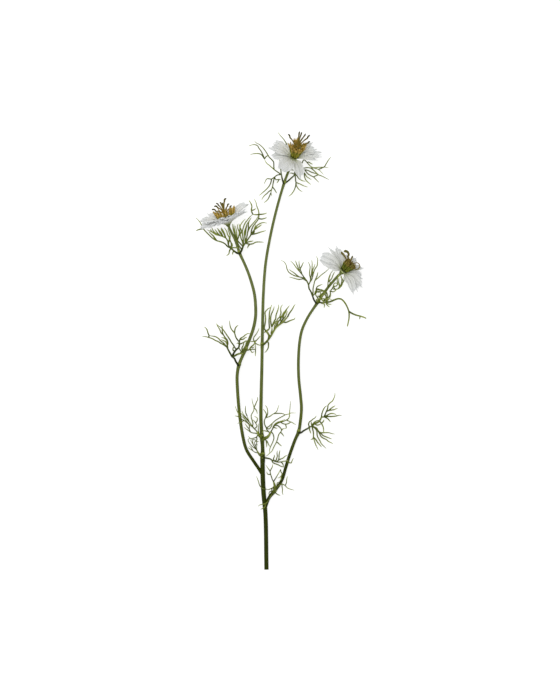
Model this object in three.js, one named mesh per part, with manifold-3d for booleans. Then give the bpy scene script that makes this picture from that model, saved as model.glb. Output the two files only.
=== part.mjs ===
// Love-in-a-mist (Nigella damascena), one cut stem with two side branches and three white blooms.
// It lies on a flat surface: the cut end and the lowest petals of the two side blooms touch it.
// Millimetres, +Z up, the cut end towards -Y. Routes give x to the right and y up the plant.

import * as THREE from "three";
import { mergeVertices } from "three/addons/utils/BufferGeometryUtils.js";
import Module from "manifold-3d";

const wasm = await Module();
wasm.setup();

// ---- Driving dimensions ----

const GAP = 0.3; // clearance between pieces that touch on the plant
const STEM_SIDES = 7;
const STEM_STEP = 14; // length of one straight stretch of stem
const CUT_END_RADIUS = 2.2;
const FORK_RADIUS = 2.4; // the main stem where the branches leave it
const MAIN_RADIUS = 1.9; // the main stem above both forks
const BRANCH_RADIUS = 1.65;
const NECK_RADIUS = 1.3; // under each bloom
const RECEPTACLE_RADIUS = 2.6;
const RECEPTACLE_LENGTH = 3.2;

const THREAD_SIDES = 3;
const THREAD_STEP = 12;
const THREAD_SAMPLE = 3; // spacing of the points at which a strand is kept clear of the stems
const STEM_SAMPLE = 1.5; // spacing of the points on the stems that they are compared with
const STALK_SIDES = 5;
const STALK_RADIUS = 0.8; // first strand of each leaf
const BROAD_STALK_RADIUS = 1.5; // of the leaves low on the stem
const THREAD_RADIUS = 0.5;
const THREAD_TIP_RADIUS = 0.3;
const THREAD_POINT = 0.8; // length of the sharp end
const LOWEST_THREAD = 0.7; // thread centre above the surface it lies on
const SHEATH_BELOW = 0.8; // the leaf base clasps the stem from below the node to above it
const SHEATH_ABOVE = 4;
const SHEATH_WALL = 0.5;
const SHEATH_REACH = 4; // more than the stem's radius and the wall

const PETAL_THICKNESS = 0.6;
const PETAL_CURL = 14; // degrees, from the steep claw to the arched tip
const PETAL_TROUGH = 0.22; // how far the edges stand up, as a share of the half width
const PETAL_ROWS = [0, 0.36, 0.74, 1];
const PETAL_HALF_WIDTH = [0.2, 0.84, 1, 0.78]; // share of the full half width at each row
const PETAL_COLUMNS = [-1, -0.5, 0, 0.5, 1];
const TIP_CUT = [0.07, 0.11, 0, 0.11, 0.07]; // how far each column stops short of the tip
const DISC_RADIUS = 4.6;
const DISC_THICKNESS = 0.9;
const DISC_SEGMENTS = 9;

const STAMEN_DISC_RADIUS = 3.5;
const STAMEN_DISC_THICKNESS = 0.8;
const STAMEN_RING_RADIUS = 2.9;
const FILAMENT_RADIUS = 0.36;
const ANTHER_RADIUS = 0.6;
const ANTHER_POINT = 1.4; // length of its sharp end
const STAMEN_STEPS = 3;
const STAMENS_PER_RING = 8;
const NECTARY_COUNT = 6;
const NECTARY_RADIUS = 0.6;
const NECTARY_LENGTH = 2.2;

const OVARY_RADIUS = 2.5;
const OVARY_HEIGHT = 8;
const OVARY_SEGMENTS = 10;
const OVARY_RIB_DEPTH = 0.14; // share of the radius, in the five furrows between the carpels
const STYLE_RADIUS = 0.5;
const STYLE_TIP_RADIUS = 0.42;
const STYLE_SIDES = 4;
const STYLE_STEPS = 3;
const STYLE_CLEARANCE = 1.6; // a stamen that would come nearer to a style is left out

// ---- Stems: points [x, y, z] along each axis, z being the height above the surface ----

const MAIN_STEM = [
  [0.4, 0, 2.2], [-0.6, 55, 2.8], [-2.6, 78, 3.2], [-3.5, 102, 3.8], [-3.4, 120, 4.2], [-5.1, 150, 4.6],
  [-4.9, 174, 4.9], [-4.2, 204, 5.2], [-3.6, 240, 5.6], [-2.7, 276, 6], [-0.5, 306, 6.2], [3.5, 330, 6.4],
  [8.8, 354, 6.6], [15.3, 378, 7.6], [20.6, 394, 10], [25.5, 405.5, 14.5],
];
const LEFT_BRANCH = [
  [-3.6, 95, 3.7], [-7.9, 102, 4.4], [-12, 108, 5.2], [-19.5, 120, 6.6], [-22.9, 132, 7.8], [-26.5, 156, 10],
  [-28.5, 180, 12], [-28.8, 195, 13], [-27, 205, 13.6], [-20, 222, 14.4], [-13.1, 240, 15], [-10.6, 252, 15.4],
  [-10.3, 261, 15.8], [-11.6, 276, 16.4], [-16.6, 294, 17.4], [-21.4, 306, 18.2], [-26, 316, 19],
  [-30.8, 330, 21], [-35.2, 338.7, 22.9],
];
const RIGHT_BRANCH = [
  [-0.8, 62, 3], [3, 72, 3.6], [9.5, 80, 4.4], [15.9, 90, 5], [19.6, 102, 5.6], [23.3, 114, 6.2],
  [29, 130, 7], [32.5, 138, 7.4], [34.5, 150, 7.8], [35.4, 162, 8], [34.5, 174, 8.2], [32.7, 192, 8.5],
  [32.4, 210, 8.8], [33.6, 228, 9.2], [36, 240, 9.6], [41.4, 252, 10.4], [50.5, 266, 13], [61.2, 281.5, 18.5],
  [70.6, 292.6, 23],
];

// ---- Blooms ----
// centre is the top of the receptacle and axis points out of the bloom.
// petals: [turn, lift, length, width, twist]; turn is in degrees round the axis from the upper side, lift is the
// rise out of the plane of the bloom, and twist turns a blade on its own length.
// styles: tips [side, upper side, height along the axis].

const BLOOMS = {
  top: {
    centre: [28, 411.5, 20.2],
    axis: [0.2, 0.72, 0.66],
    petals: [
      [21, 0, 31, 11], [-17, 1, 26, 15], [-57, 8, 22.5, 12], [-80, 15, 26, 11], [-103, 20, 23, 11],
      [-134, 8, 16, 11], [178, -6, 19, 12], [144, 24, 24, 9], [122, 17, 24, 11], [100, 10, 25, 11],
    ],
    stamenLength: 18,
    stamenFlare: 22,
    styles: [
      [-6.6, -8, 27], [-3.8, -11, 24.5], [-1, -4, 28], [1.6, -9, 24.5], [7.2, -9, 25.5], [6.6, -2, 23],
      [-13.5, 0, 24], [3, 7, 21],
    ],
  },
  left: {
    centre: [-38, 346, 24.67],
    axis: [-0.29, 0.94, 0.2],
    petals: [
      [112, 25, 26, 15], [146, 25, 24, 12], [178, 11, 23, 12], [-147, 25, 26, 13], [-115, 11, 26, 14],
      [-82, 12, 25, 14], [-50, 13, 23, 15], [-15, 18, 21, 15], [20, 21, 20, 15], [58, 21, 21, 14],
    ],
    stamenLength: 17,
    stamenFlare: 19,
    styles: [
      [7.4, 4, 23.5], [0.6, -3, 22], [-6.8, 4, 22.3], [-7.8, -5, 19.5], [-10.4, 2, 20], [8.4, -6, 18.5],
      [11.5, 0, 18.5],
    ],
  },
  right: {
    centre: [76, 298, 25.55],
    axis: [0.65, 0.65, 0.3],
    petals: [
      [-69, -8, 25.5, 14, -42], [-90, 8, 19.5, 14, -30], [-120, 24, 25, 8, -25], [-142, 30, 19, 12],
      [180, 42, 22.5, 9], [56, -11, 27.5, 11, 35], [85, -3, 23.5, 13, 16], [120, 8, 23.5, 14, 28],
      [146, 32, 24, 8], [176, 3, 24, 12],
    ],
    stamenLength: 14,
    stamenFlare: 27,
    styles: [
      [-11, 4, 18.5], [-10, -1, 20], [2.8, -3, 19.5], [8.7, 0, 17.5], [5, 5, 18.5], [-5, -7, 18],
    ],
  },
};

// ---- Leaves and bracts: strands of thread ----
// node is where the leaf base clasps its stem. Each strand is [rise, [x, y], [x, y], ...]: it leaves the node or
// an earlier strand at its first point, and its tip ends `rise` higher than it began.

const LEAVES = {
  leaf_axil: {
    stem: "right",
    node: [6.5, 76.5],
    stalk: BROAD_STALK_RADIUS,
    strands: [
      [5, [6.5, 76.5], [8.8, 83.5], [7.5, 88.5]],
      [3, [7.5, 88.5], [4.5, 96], [4, 99], [0, 105]],
      [4, [7.5, 88.5], [11.5, 95], [14.5, 100.7]],
      [-2, [14.5, 100.7], [15.5, 94.5], [11.7, 92]],
      [2, [8.8, 83.5], [16, 86], [19, 84.5], [28.5, 79.6]],
      [5, [19, 84.5], [21.5, 94]],
      [-1, [16, 86], [17.2, 74.8]],
    ],
  },
  leaf_low_right: {
    stem: "main",
    node: [-3.5, 110],
    strands: [
      [2, [-3.5, 110], [1.3, 111.6], [5.8, 109.8], [8, 109]],
      [3, [8, 109], [15, 108], [19.5, 109], [22.5, 110]],
      [4, [8, 109], [12.6, 109.8], [21.5, 115]],
      [-1, [5.8, 109.8], [9.5, 106], [18.5, 103]],
      [6, [8, 109], [10.8, 112], [11.3, 119.5]],
    ],
  },
  leaf_low_left: {
    stem: "main",
    node: [-3.5, 115.2],
    stalk: BROAD_STALK_RADIUS,
    strands: [
      [1, [-3.5, 115.2], [-7.8, 117], [-9.2, 119.5]],
      [3, [-9.2, 119.5], [-13.3, 123], [-18, 130.5]],
      [0, [-7.8, 117], [-13.3, 119.2], [-18, 122.4]],
      [6, [-9.2, 119.5], [-10.7, 124], [-10.5, 129]],
    ],
  },
  leaf_middle_left: {
    stem: "main",
    node: [-4.2, 135.5],
    stalk: BROAD_STALK_RADIUS,
    strands: [
      [3, [-4.2, 135.5], [-7.8, 137], [-9.2, 138.7]],
      [2, [-7.8, 137], [-15.5, 137.8], [-22, 142.8]],
      [5, [-9.2, 138.7], [-13.7, 143.3], [-18.8, 154], [-20.4, 164.5]],
      [6, [-13.7, 143.3], [-22, 149.6], [-28.3, 157.8], [-31, 164.6]],
      [8, [-13.7, 143.3], [-14.9, 154], [-12, 162.4], [-14, 172]],
      [3, [-12, 162.4], [-8.7, 173.3]],
      [1, [-7.8, 137], [-12.8, 131.7], [-17.8, 133.7]],
    ],
  },
  leaf_middle_right: {
    stem: "main",
    node: [-4, 130],
    stalk: BROAD_STALK_RADIUS,
    strands: [
      [3, [-4, 130], [1.3, 132.8], [4.9, 138.3]],
      [3, [4.9, 138.3], [8.8, 144.6], [14.5, 147.8], [20.4, 150], [23.5, 157.4], [24.7, 169]],
      [2, [14.5, 147.8], [19.5, 145.8], [25, 148], [30, 145.3]],
      [4, [4.9, 138.3], [0.4, 142], [6.7, 147], [16.7, 153.7], [30, 157]],
      [6, [0.4, 142], [-1.5, 149.6], [1.7, 152.8], [8.1, 156.5], [13.1, 165.5]],
      [5, [-1.5, 149.6], [1.7, 158.7], [-1, 165]],
      [-3, [8.8, 144.6], [15.6, 139.6], [10.4, 127.8], [5.8, 118.7], [-0.5, 113.3]],
      [-2, [15.6, 139.6], [18.1, 133.3]],
      [-3, [4.9, 138.3], [7.9, 131.5], [3.5, 119.6]],
    ],
  },
  leaf_right: {
    stem: "right",
    node: [32.5, 136.5],
    strands: [
      [5, [32.5, 136.5], [43.5, 142.8], [46, 144], [53.5, 149.1], [58, 153.2]],
      [4, [58, 153.2], [61.6, 161.8], [66.2, 169], [68.8, 177.5]],
      [2, [58, 153.2], [65.3, 160], [71.8, 161.6]],
      [1, [58, 153.2], [65.7, 153.6], [75.7, 154.5]],
      [-2, [58, 153.2], [64.5, 148]],
      [1, [53.5, 149.1], [57.5, 141.4], [57.1, 136.8]],
      [5, [43.5, 142.8], [43.5, 148.2], [50.3, 154.5]],
      [1, [46, 144], [47.5, 132.7], [52.2, 120]],
      [-2, [46, 144], [51, 138.2], [51.6, 133.2], [60.3, 121.4]],
      [2, [51, 138.2], [57, 137.3], [68.7, 136]],
      [4, [51, 138.2], [57.5, 131.8], [67.2, 126]],
    ],
  },
  leaf_left: {
    stem: "left",
    node: [-27.3, 204],
    strands: [
      [5, [-27.3, 204], [-33.7, 213.3], [-39.3, 223.2]],
      [3, [-33.7, 213.3], [-31, 218.7], [-26.6, 225.7]],
      [1, [-33.7, 213.3], [-28.5, 215.7], [-23, 216.5]],
      [1, [-39.3, 223.2], [-48, 228.6], [-57.2, 232.5], [-63.5, 233.6]],
      [4, [-57.2, 232.5], [-61.5, 243]],
      [4, [-39.3, 223.2], [-46.8, 231], [-56.5, 234.6]],
      [5, [-39.3, 223.2], [-42.7, 235.3], [-49.5, 246.5]],
      [2, [-31, 218.7], [-36.4, 231], [-49, 245.7]],
      [5, [-26.6, 225.7], [-31.4, 237], [-36.4, 249.4]],
      [4, [-31.4, 237], [-27.5, 245]],
      [6, [-26.6, 225.7], [-20.2, 235.2], [-16, 236.3]],
      [4, [-28.5, 215.7], [-22.2, 221.5], [-19, 229.4]],
    ],
  },
  leaf_left_upper: {
    stem: "left",
    node: [-20.8, 219.8],
    strands: [
      [1, [-20.8, 219.8], [-16.6, 220.6], [-11, 227.3]],
      [2, [-11, 227.3], [-5.5, 234.2]],
      [4, [-11, 227.3], [-11.8, 233.2], [-6.8, 242]],
      [-2, [-16.6, 220.6], [-10.6, 221], [-10.7, 213.5]],
    ],
  },
  leaf_upper: {
    stem: "main",
    node: [-3.9, 225],
    strands: [
      [5, [-3.9, 225], [2.5, 230.7], [5, 234.3], [9.6, 242], [17, 248], [21.7, 253.3]],
      [2, [21.7, 253.3], [29.4, 265.6]],
      [2, [17, 248], [23.3, 249], [29.2, 252.5]],
      [5, [9.6, 242], [13.8, 252.8], [16.7, 265.5]],
      [5, [2.5, 230.7], [0.4, 238.7], [-0.8, 258], [5.8, 264.5]],
      [4, [5, 234.3], [5.8, 243.2], [4.6, 251.2], [8.3, 263.7]],
      [6, [5.8, 243.2], [10, 254.5], [12.1, 265.5]],
      [-2, [2.5, 230.7], [2.1, 222], [-1.3, 217.4]],
    ],
  },
};

const BRACTS = {
  bracts_top: {
    bloom: "top",
    stem: "main",
    node: [18, 385.5],
    strands: [
      [2, [18, 385.5], [15.3, 395.5]],
      [-2, [18, 385.5], [29, 395.5]],
      [3, [15.3, 395.5], [8, 400.5], [-1.5, 411]],
      [3, [-1.5, 411], [-7, 421.5], [-17.5, 423.5]],
      [-4, [-1.5, 411], [-10, 416.5], [-16, 415.5]],
      [5, [8, 400.5], [7.5, 408], [-11.5, 429]],
      [-1, [15.3, 395.5], [8.5, 393], [1, 391.3], [-2, 386]],
      [2, [8.5, 393], [13, 390.6], [10.7, 386.8]],
      [-3, [8.5, 393], [3.5, 384.5], [-7, 374.5]],
      [3, [8.5, 393], [6.5, 383], [5, 377], [-2, 367]],
      [-2, [6.5, 383], [-4.5, 370]],
      [-2, [29, 395.5], [34.5, 390.5], [39.5, 389]],
      [0, [29, 395.5], [30, 388], [41.9, 383.1]],
      [2, [30, 388], [36.5, 378.4]],
      [-3, [30, 388], [28.1, 380], [22.5, 373.8]],
      [4, [29, 395.5], [33, 399], [41.3, 402.5], [62.5, 402.5]],
      [3, [33, 399], [38.1, 410.3], [45, 403.4], [52.5, 400.6], [57.5, 395.6]],
      [2, [52.5, 400.6], [65, 413.1]],
      [2, [33, 399], [45, 398.1], [63.1, 390.3]],
      [1, [33, 399], [47.5, 393.1], [53.1, 387.5]],
      [-1, [33, 399], [38.7, 393], [45, 385.6]],
    ],
  },
  bracts_left: {
    bloom: "left",
    stem: "left",
    node: [-26, 316],
    strands: [
      [3, [-26, 316], [-35, 321.5]],
      [3, [-26, 316], [-22.5, 324], [-20.5, 326.5]],
      [2, [-35, 321.5], [-49, 329], [-58, 336], [-62.5, 341]],
      [2, [-62.5, 341], [-65.5, 347], [-70, 352]],
      [-3, [-62.5, 341], [-70, 339]],
      [6, [-35, 321.5], [-40, 331.5], [-46, 334], [-59, 339.8]],
      [-2, [-40, 331.5], [-45, 341.5]],
      [1, [-35, 321.5], [-36, 330], [-41.5, 342]],
      [2, [-22.5, 324], [-29, 330], [-30.5, 344]],
      [0, [-29, 330], [-33.5, 346]],
      [4, [-22.5, 324], [-25, 332], [-25.5, 344], [-20.5, 350.5]],
      [6, [-22.5, 324], [-23.5, 338], [-18, 350], [-13, 355]],
      [3, [-20.5, 326.5], [-15, 335], [-13, 343], [-7.5, 351], [-7.5, 359], [-12, 371]],
      [-1, [-15, 335], [-9, 344], [1, 346.5]],
      [1, [-15, 335], [0, 339]],
      [0, [-20.5, 326.5], [-13, 326], [-2, 327.5]],
      [2, [-7.5, 351], [1, 356.5]],
      [3, [-13, 355], [-14, 363], [-17, 369]],
      [-3, [-35, 321.5], [-39.5, 314]],
    ],
  },
  bracts_right: {
    bloom: "right",
    stem: "right",
    node: [50.5, 266],
    strands: [
      [2, [50.5, 266], [46.5, 274], [42.5, 285], [38.5, 292]],
      [3, [50.5, 266], [54, 267.5], [59.5, 268]],
      [2, [59.5, 268], [69, 270.3], [75, 270.8], [79.8, 265.5], [82.7, 258.5], [81.8, 245.5]],
      [3, [82.7, 258.5], [90, 254.8], [100, 251.5]],
      [2, [38.5, 292], [33, 299], [24.5, 309]],
      [4, [38.5, 292], [33.5, 303], [33, 309.5]],
      [4, [38.5, 292], [33, 293], [22.5, 298], [15, 309.5]],
      [6, [42.5, 285], [44.5, 291], [42, 308]],
      [4, [44.5, 291], [49, 301], [50, 313.5]],
      [5, [46.5, 274], [49, 289.5], [63, 301.5]],
      [3, [50.5, 266], [52.5, 270], [49.5, 275.5], [54.5, 276], [51.5, 275]],
      [5, [54, 267.5], [54.5, 273], [58.5, 277], [53, 279]],
      [3, [59.5, 268], [64, 273], [63, 279.5]],
      [2, [53, 279], [51, 283], [56.5, 285.5]],
      [6, [59.5, 268], [64.5, 279], [72, 281], [76.5, 287], [74, 293]],
      [3, [64, 273], [60, 278], [62, 288], [67, 299.5]],
      [-2, [59.5, 268], [63.5, 262.8]],
    ],
  },
};

// ---- Materials ----

function material(color, roughness) {
  return new THREE.MeshStandardMaterial({ color, roughness, metalness: 0, side: THREE.DoubleSide });
}

const STEM_SKIN = material(0x55612b, 0.55);
const LEAF_SKIN = material(0x6b7a3a, 0.6);
const PETAL_SKIN = material(0xe4e5e3, 0.65);
const STAMEN_SKIN = material(0x7a5c1c, 0.6);
const PISTIL_SKIN = material(0x4d551f, 0.5);

// ---- Solids ----

function solidOf(geometry) {
  geometry.deleteAttribute("normal");
  geometry.deleteAttribute("uv");
  const merged = mergeVertices(geometry, 1e-4);
  const vertProperties = merged.attributes.position.array;
  const triVerts = new Uint32Array(merged.index.array);
  return new wasm.Manifold(new wasm.Mesh({ numProp: 3, vertProperties, triVerts }));
}

function joined(solids) {
  return solids.reduce((whole, next) => whole.add(next));
}

function largestBody(solid) {
  return solid.decompose().reduce((a, b) => (b.volume() > a.volume() ? b : a));
}

function meshOf(name, solid, skin) {
  const { numProp, vertProperties, triVerts } = solid.getMesh();
  const geometry = new THREE.BufferGeometry();
  geometry.setAttribute("position", new THREE.BufferAttribute(new Float32Array(vertProperties), numProp));
  geometry.setIndex(new THREE.BufferAttribute(triVerts, 1));
  geometry.computeVertexNormals();
  const mesh = new THREE.Mesh(geometry, skin);
  mesh.name = name;
  return mesh;
}

function seededRandom(seed) {
  let state = seed;
  return () => {
    state = (state * 1664525 + 1013904223) % 4294967296;
    return state / 4294967296;
  };
}

// A tube round a smooth curve. radiusAt gives the radius at each share of its length, and the ends close in a
// point that stands `point` beyond the last ring.
function tube(curve, radiusAt, sides, steps, point = 0) {
  const frames = curve.computeFrenetFrames(steps, false);
  const positions = [];
  const index = [];
  for (let i = 0; i <= steps; i++) {
    const centre = curve.getPointAt(i / steps);
    const radius = radiusAt(i / steps);
    for (let j = 0; j < sides; j++) {
      const angle = (2 * Math.PI * j) / sides;
      const rim = centre
        .clone()
        .addScaledVector(frames.normals[i], radius * Math.cos(angle))
        .addScaledVector(frames.binormals[i], radius * Math.sin(angle));
      positions.push(...rim.toArray());
    }
  }
  const start = curve.getPointAt(0);
  const end = curve.getPointAt(1).addScaledVector(frames.tangents[steps], point);
  positions.push(...start.toArray(), ...end.toArray());
  const startCentre = (steps + 1) * sides;
  const endCentre = startCentre + 1;
  for (let j = 0; j < sides; j++) {
    const next = (j + 1) % sides;
    for (let i = 0; i < steps; i++) {
      const here = i * sides;
      const above = here + sides;
      index.push(here + j, here + next, above + j, here + next, above + next, above + j);
    }
    index.push(startCentre, next, j);
    index.push(endCentre, steps * sides + j, steps * sides + next);
  }
  const geometry = new THREE.BufferGeometry();
  geometry.setAttribute("position", new THREE.Float32BufferAttribute(positions, 3));
  geometry.setIndex(index);
  return solidOf(geometry);
}

function vectors(points) {
  return points.map((point) => new THREE.Vector3(...point));
}

function smoothCurve(points) {
  return new THREE.CatmullRomCurve3(points, false, "centripetal");
}

// ---- Stems ----

// Piecewise straight radius along a stem: [share of length, radius] pairs.
function radiusLine(pairs) {
  return (share) => {
    const next = pairs.findIndex(([at]) => at >= share);
    if (next <= 0) return pairs[Math.max(next, 0)][1];
    const [from, low] = pairs[next - 1];
    const [to, high] = pairs[next];
    return THREE.MathUtils.mapLinear(share, from, to, low, high);
  };
}

const STEMS = {
  main: {
    bloom: "top",
    points: MAIN_STEM,
    radius: radiusLine([
      [0, CUT_END_RADIUS], [0.13, CUT_END_RADIUS], [0.18, FORK_RADIUS], [0.24, FORK_RADIUS], [0.29, MAIN_RADIUS],
      [0.5, 1.6], [0.94, NECK_RADIUS], [1, NECK_RADIUS],
    ]),
  },
  left: {
    bloom: "left",
    points: LEFT_BRANCH,
    radius: radiusLine([[0, BRANCH_RADIUS], [0.6, BRANCH_RADIUS], [1, NECK_RADIUS]]),
  },
  right: {
    bloom: "right",
    points: RIGHT_BRANCH,
    radius: radiusLine([[0, 1.7], [0.25, BRANCH_RADIUS], [1, NECK_RADIUS]]),
  },
};

for (const stem of Object.values(STEMS)) {
  const { centre, axis } = BLOOMS[stem.bloom];
  const top = new THREE.Vector3(...centre);
  const outward = new THREE.Vector3(...axis).normalize();
  const underBloom = top.clone().addScaledVector(outward, -RECEPTACLE_LENGTH);
  stem.curve = smoothCurve([...vectors(stem.points), underBloom, top]);
  stem.steps = Math.round(stem.curve.getLength() / STEM_STEP);
  stem.flare = radiusLine([[0, NECK_RADIUS], [0.45, RECEPTACLE_RADIUS], [1, RECEPTACLE_RADIUS]]);
  stem.cap = smoothCurve([underBloom, top]);
}

function stemSolid(extra) {
  const parts = [];
  for (const { curve, steps, radius, cap, flare } of Object.values(STEMS)) {
    parts.push(tube(curve, (share) => radius(share) + extra, STEM_SIDES, steps));
    parts.push(tube(cap, (share) => flare(share) + extra, STEM_SIDES, 3, extra));
  }
  return joined(parts);
}

// ---- Leaves and bracts ----

const stemKeepOut = stemSolid(GAP);
const stemCoat = stemSolid(GAP + SHEATH_WALL);

function sampled(curve, spacing) {
  return curve.getSpacedPoints(Math.ceil(curve.getLength() / spacing));
}

const stemSamples = Object.values(STEMS).flatMap(({ curve, radius }) => {
  const points = sampled(curve, STEM_SAMPLE);
  return points.map((point, i) => ({ point, radius: radius(i / (points.length - 1)) }));
});

// Where a strand would run through a stem it is bent over it, or under it if the strand falls.
function bentClearOfStems(point, side) {
  const moved = point.clone();
  for (const { point: axis, radius } of stemSamples) {
    const clear = radius + THREAD_RADIUS + 2 * GAP;
    const flat = Math.hypot(moved.x - axis.x, moved.y - axis.y);
    if (flat >= clear || Math.abs(moved.z - axis.z) >= clear) continue;
    const needed = axis.z + side * Math.sqrt(clear * clear - flat * flat);
    moved.z = side > 0 ? Math.max(moved.z, needed) : Math.min(moved.z, needed);
  }
  return moved;
}

// The one of the points that lies nearest to [x, y], seen from above.
function nearest(points, [x, y]) {
  const distance = (point) => Math.hypot(point.x - x, point.y - y);
  return points.reduce((a, b) => (distance(b) < distance(a) ? b : a));
}

// Closely spaced points on the straight stretches that a tube is made of.
function alongTube(curve, steps) {
  const corners = curve.getSpacedPoints(steps);
  const shares = [0.125, 0.25, 0.375, 0.5, 0.625, 0.75, 0.875, 1];
  return corners.slice(1).flatMap((corner, i) => shares.map((share) => corners[i].clone().lerp(corner, share)));
}

// The ring of leaf base that clasps the stem at a node.
function sheath({ curve }, share) {
  const length = curve.getLength();
  const ends = [curve.getPointAt(share - SHEATH_BELOW / length), curve.getPointAt(share + SHEATH_ABOVE / length)];
  return tube(smoothCurve(ends), () => SHEATH_REACH, STEM_SIDES, 1).intersect(stemCoat);
}

function frondSolid({ stem, node, strands, stalk = STALK_RADIUS }) {
  const axis = sampled(STEMS[stem].curve, 1);
  const nodePoint = nearest(axis, node);
  const known = [nodePoint];
  const solids = [sheath(STEMS[stem], axis.indexOf(nodePoint) / (axis.length - 1))];
  strands.forEach(([rise, ...route], number) => {
    const start = nearest(known, route[0]);
    const flat = smoothCurve([start, ...route.slice(1).map(([x, y]) => new THREE.Vector3(x, y, start.z))]);
    const length = flat.getLength();
    const side = Math.sign(rise) || 1;
    const rising = sampled(flat, THREAD_SAMPLE);
    rising.forEach((point, i) => {
      point.z = Math.max(start.z + (rise * i) / (rising.length - 1), LOWEST_THREAD);
    });
    const clear = rising.map((point, i) => (i === 0 ? point : bentClearOfStems(point, side)));
    const isBent = clear.some((point, i) => point.z !== rising[i].z);
    const curve = smoothCurve(clear);
    const steps = (isBent ? 2 : 1) * Math.max(route.length - 1, Math.round(length / THREAD_STEP));
    const reachable = alongTube(curve, steps);
    for (const place of route.slice(1)) known.push(nearest(reachable, place));
    const [thick, thin, sides] = number === 0
      ? [stalk, STALK_RADIUS, STALK_SIDES]
      : [THREAD_RADIUS, THREAD_TIP_RADIUS, THREAD_SIDES];
    const radiusAt = (at) => THREE.MathUtils.lerp(thick, thin, at);
    solids.push(tube(curve, radiusAt, sides, steps, THREAD_POINT));
  });
  return joined(solids);
}

// ---- Blooms: each is built round its own axis, +Z out of the bloom and +Y on its upper side ----

function degrees(angle) {
  return THREE.MathUtils.degToRad(angle);
}

function disc(radius, bottom, thickness) {
  const profile = [[0, bottom], [radius, bottom], [radius, bottom + thickness], [0, bottom + thickness]];
  const outline = profile.map(([r, h]) => new THREE.Vector2(r, h));
  const lathe = new THREE.LatheGeometry(outline, DISC_SEGMENTS);
  lathe.rotateX(Math.PI / 2);
  return solidOf(lathe);
}

// Points down the middle of a petal, with the direction its face looks in at each row.
function petalSpine(lift, length) {
  const spine = [];
  let out = DISC_RADIUS - 0.8;
  let up = GAP + DISC_THICKNESS / 2;
  PETAL_ROWS.forEach((row, i) => {
    const before = PETAL_ROWS[Math.max(i - 1, 0)];
    const middle = (row + before) / 2;
    const slope = degrees(lift + PETAL_CURL * (1 - 2 * middle));
    out += (row - before) * length * Math.cos(slope);
    up += (row - before) * length * Math.sin(slope);
    const facing = degrees(lift + PETAL_CURL * (1 - 2 * row));
    spine.push({ out, up, facing });
  });
  return spine;
}

// A petal with a three-pointed tip, cut from one thin arched blade. Both faces have the same triangles.
function petalSolid([turn, lift, length, width, twist = 0], extra) {
  const spine = petalSpine(lift, length);
  const level = Math.cos(degrees(twist));
  const tilted = Math.sin(degrees(twist));
  const positions = [];
  const columns = PETAL_COLUMNS.length;
  for (const face of [-1, 1]) {
    spine.forEach(({ out, up, facing }, i) => {
      const along = new THREE.Vector3(0, Math.cos(facing), Math.sin(facing));
      const raised = new THREE.Vector3(0, -Math.sin(facing), Math.cos(facing));
      const across = new THREE.Vector3(level, 0, 0).addScaledVector(raised, -tilted);
      const outward = new THREE.Vector3(tilted, 0, 0).addScaledVector(raised, level);
      const halfWidth = (width / 2) * PETAL_HALF_WIDTH[i];
      PETAL_COLUMNS.forEach((column, j) => {
        const cut = TIP_CUT[j] * length * PETAL_ROWS[i] ** 5;
        const edgeRise = PETAL_TROUGH * halfWidth * column * column;
        const point = new THREE.Vector3(0, out, up)
          .addScaledVector(across, column * halfWidth)
          .addScaledVector(along, -cut)
          .addScaledVector(outward, edgeRise + face * (PETAL_THICKNESS / 2 + extra));
        positions.push(...point.toArray());
      });
    });
  }
  const geometry = new THREE.BufferGeometry();
  geometry.setAttribute("position", new THREE.Float32BufferAttribute(positions, 3));
  geometry.setIndex(bladeTriangles(spine.length, columns));
  geometry.rotateZ(degrees(turn));
  return solidOf(geometry);
}

// Triangles of a closed blade whose lower and upper faces are two grids of rows by columns.
function bladeTriangles(rows, columns) {
  const index = [];
  const upper = rows * columns;
  const quad = (a, b, c, d) => index.push(a, b, c, a, c, d);
  for (let i = 0; i < rows - 1; i++) {
    for (let j = 0; j < columns - 1; j++) {
      const a = i * columns + j;
      quad(a, a + columns, a + columns + 1, a + 1);
      index.push(upper + a, upper + a + columns + 1, upper + a + columns);
      index.push(upper + a, upper + a + 1, upper + a + columns + 1);
    }
    const left = i * columns;
    const right = left + columns - 1;
    quad(left, upper + left, upper + left + columns, left + columns);
    quad(right, right + columns, upper + right + columns, upper + right);
  }
  for (let j = 0; j < columns - 1; j++) {
    const base = j;
    const tip = (rows - 1) * columns + j;
    quad(base, base + 1, upper + base + 1, upper + base);
    quad(tip, upper + tip, upper + tip + 1, tip + 1);
  }
  return index;
}

function corollaSolid({ petals }, extra = 0) {
  const centre = disc(DISC_RADIUS + extra, GAP - extra, DISC_THICKNESS + 2 * extra);
  return joined([centre, ...petals.map((petal) => petalSolid(petal, extra))]);
}

const STAMEN_BASE = GAP + DISC_THICKNESS + GAP;
const PISTIL_BASE = STAMEN_BASE + STAMEN_DISC_THICKNESS + GAP;

function onRing(radius, angle, height) {
  return new THREE.Vector3(-radius * Math.sin(angle), radius * Math.cos(angle), height);
}

function styleCurve([side, upper, height]) {
  const root = PISTIL_BASE + OVARY_HEIGHT - 1;
  const climb = height - root;
  return smoothCurve([
    new THREE.Vector3(-side * 0.03, upper * 0.03, root),
    new THREE.Vector3(-side * 0.3, upper * 0.3, root + climb * 0.5),
    new THREE.Vector3(-side * 0.72, upper * 0.72, root + climb * 0.88),
    new THREE.Vector3(-side, upper, height),
  ]);
}

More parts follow.
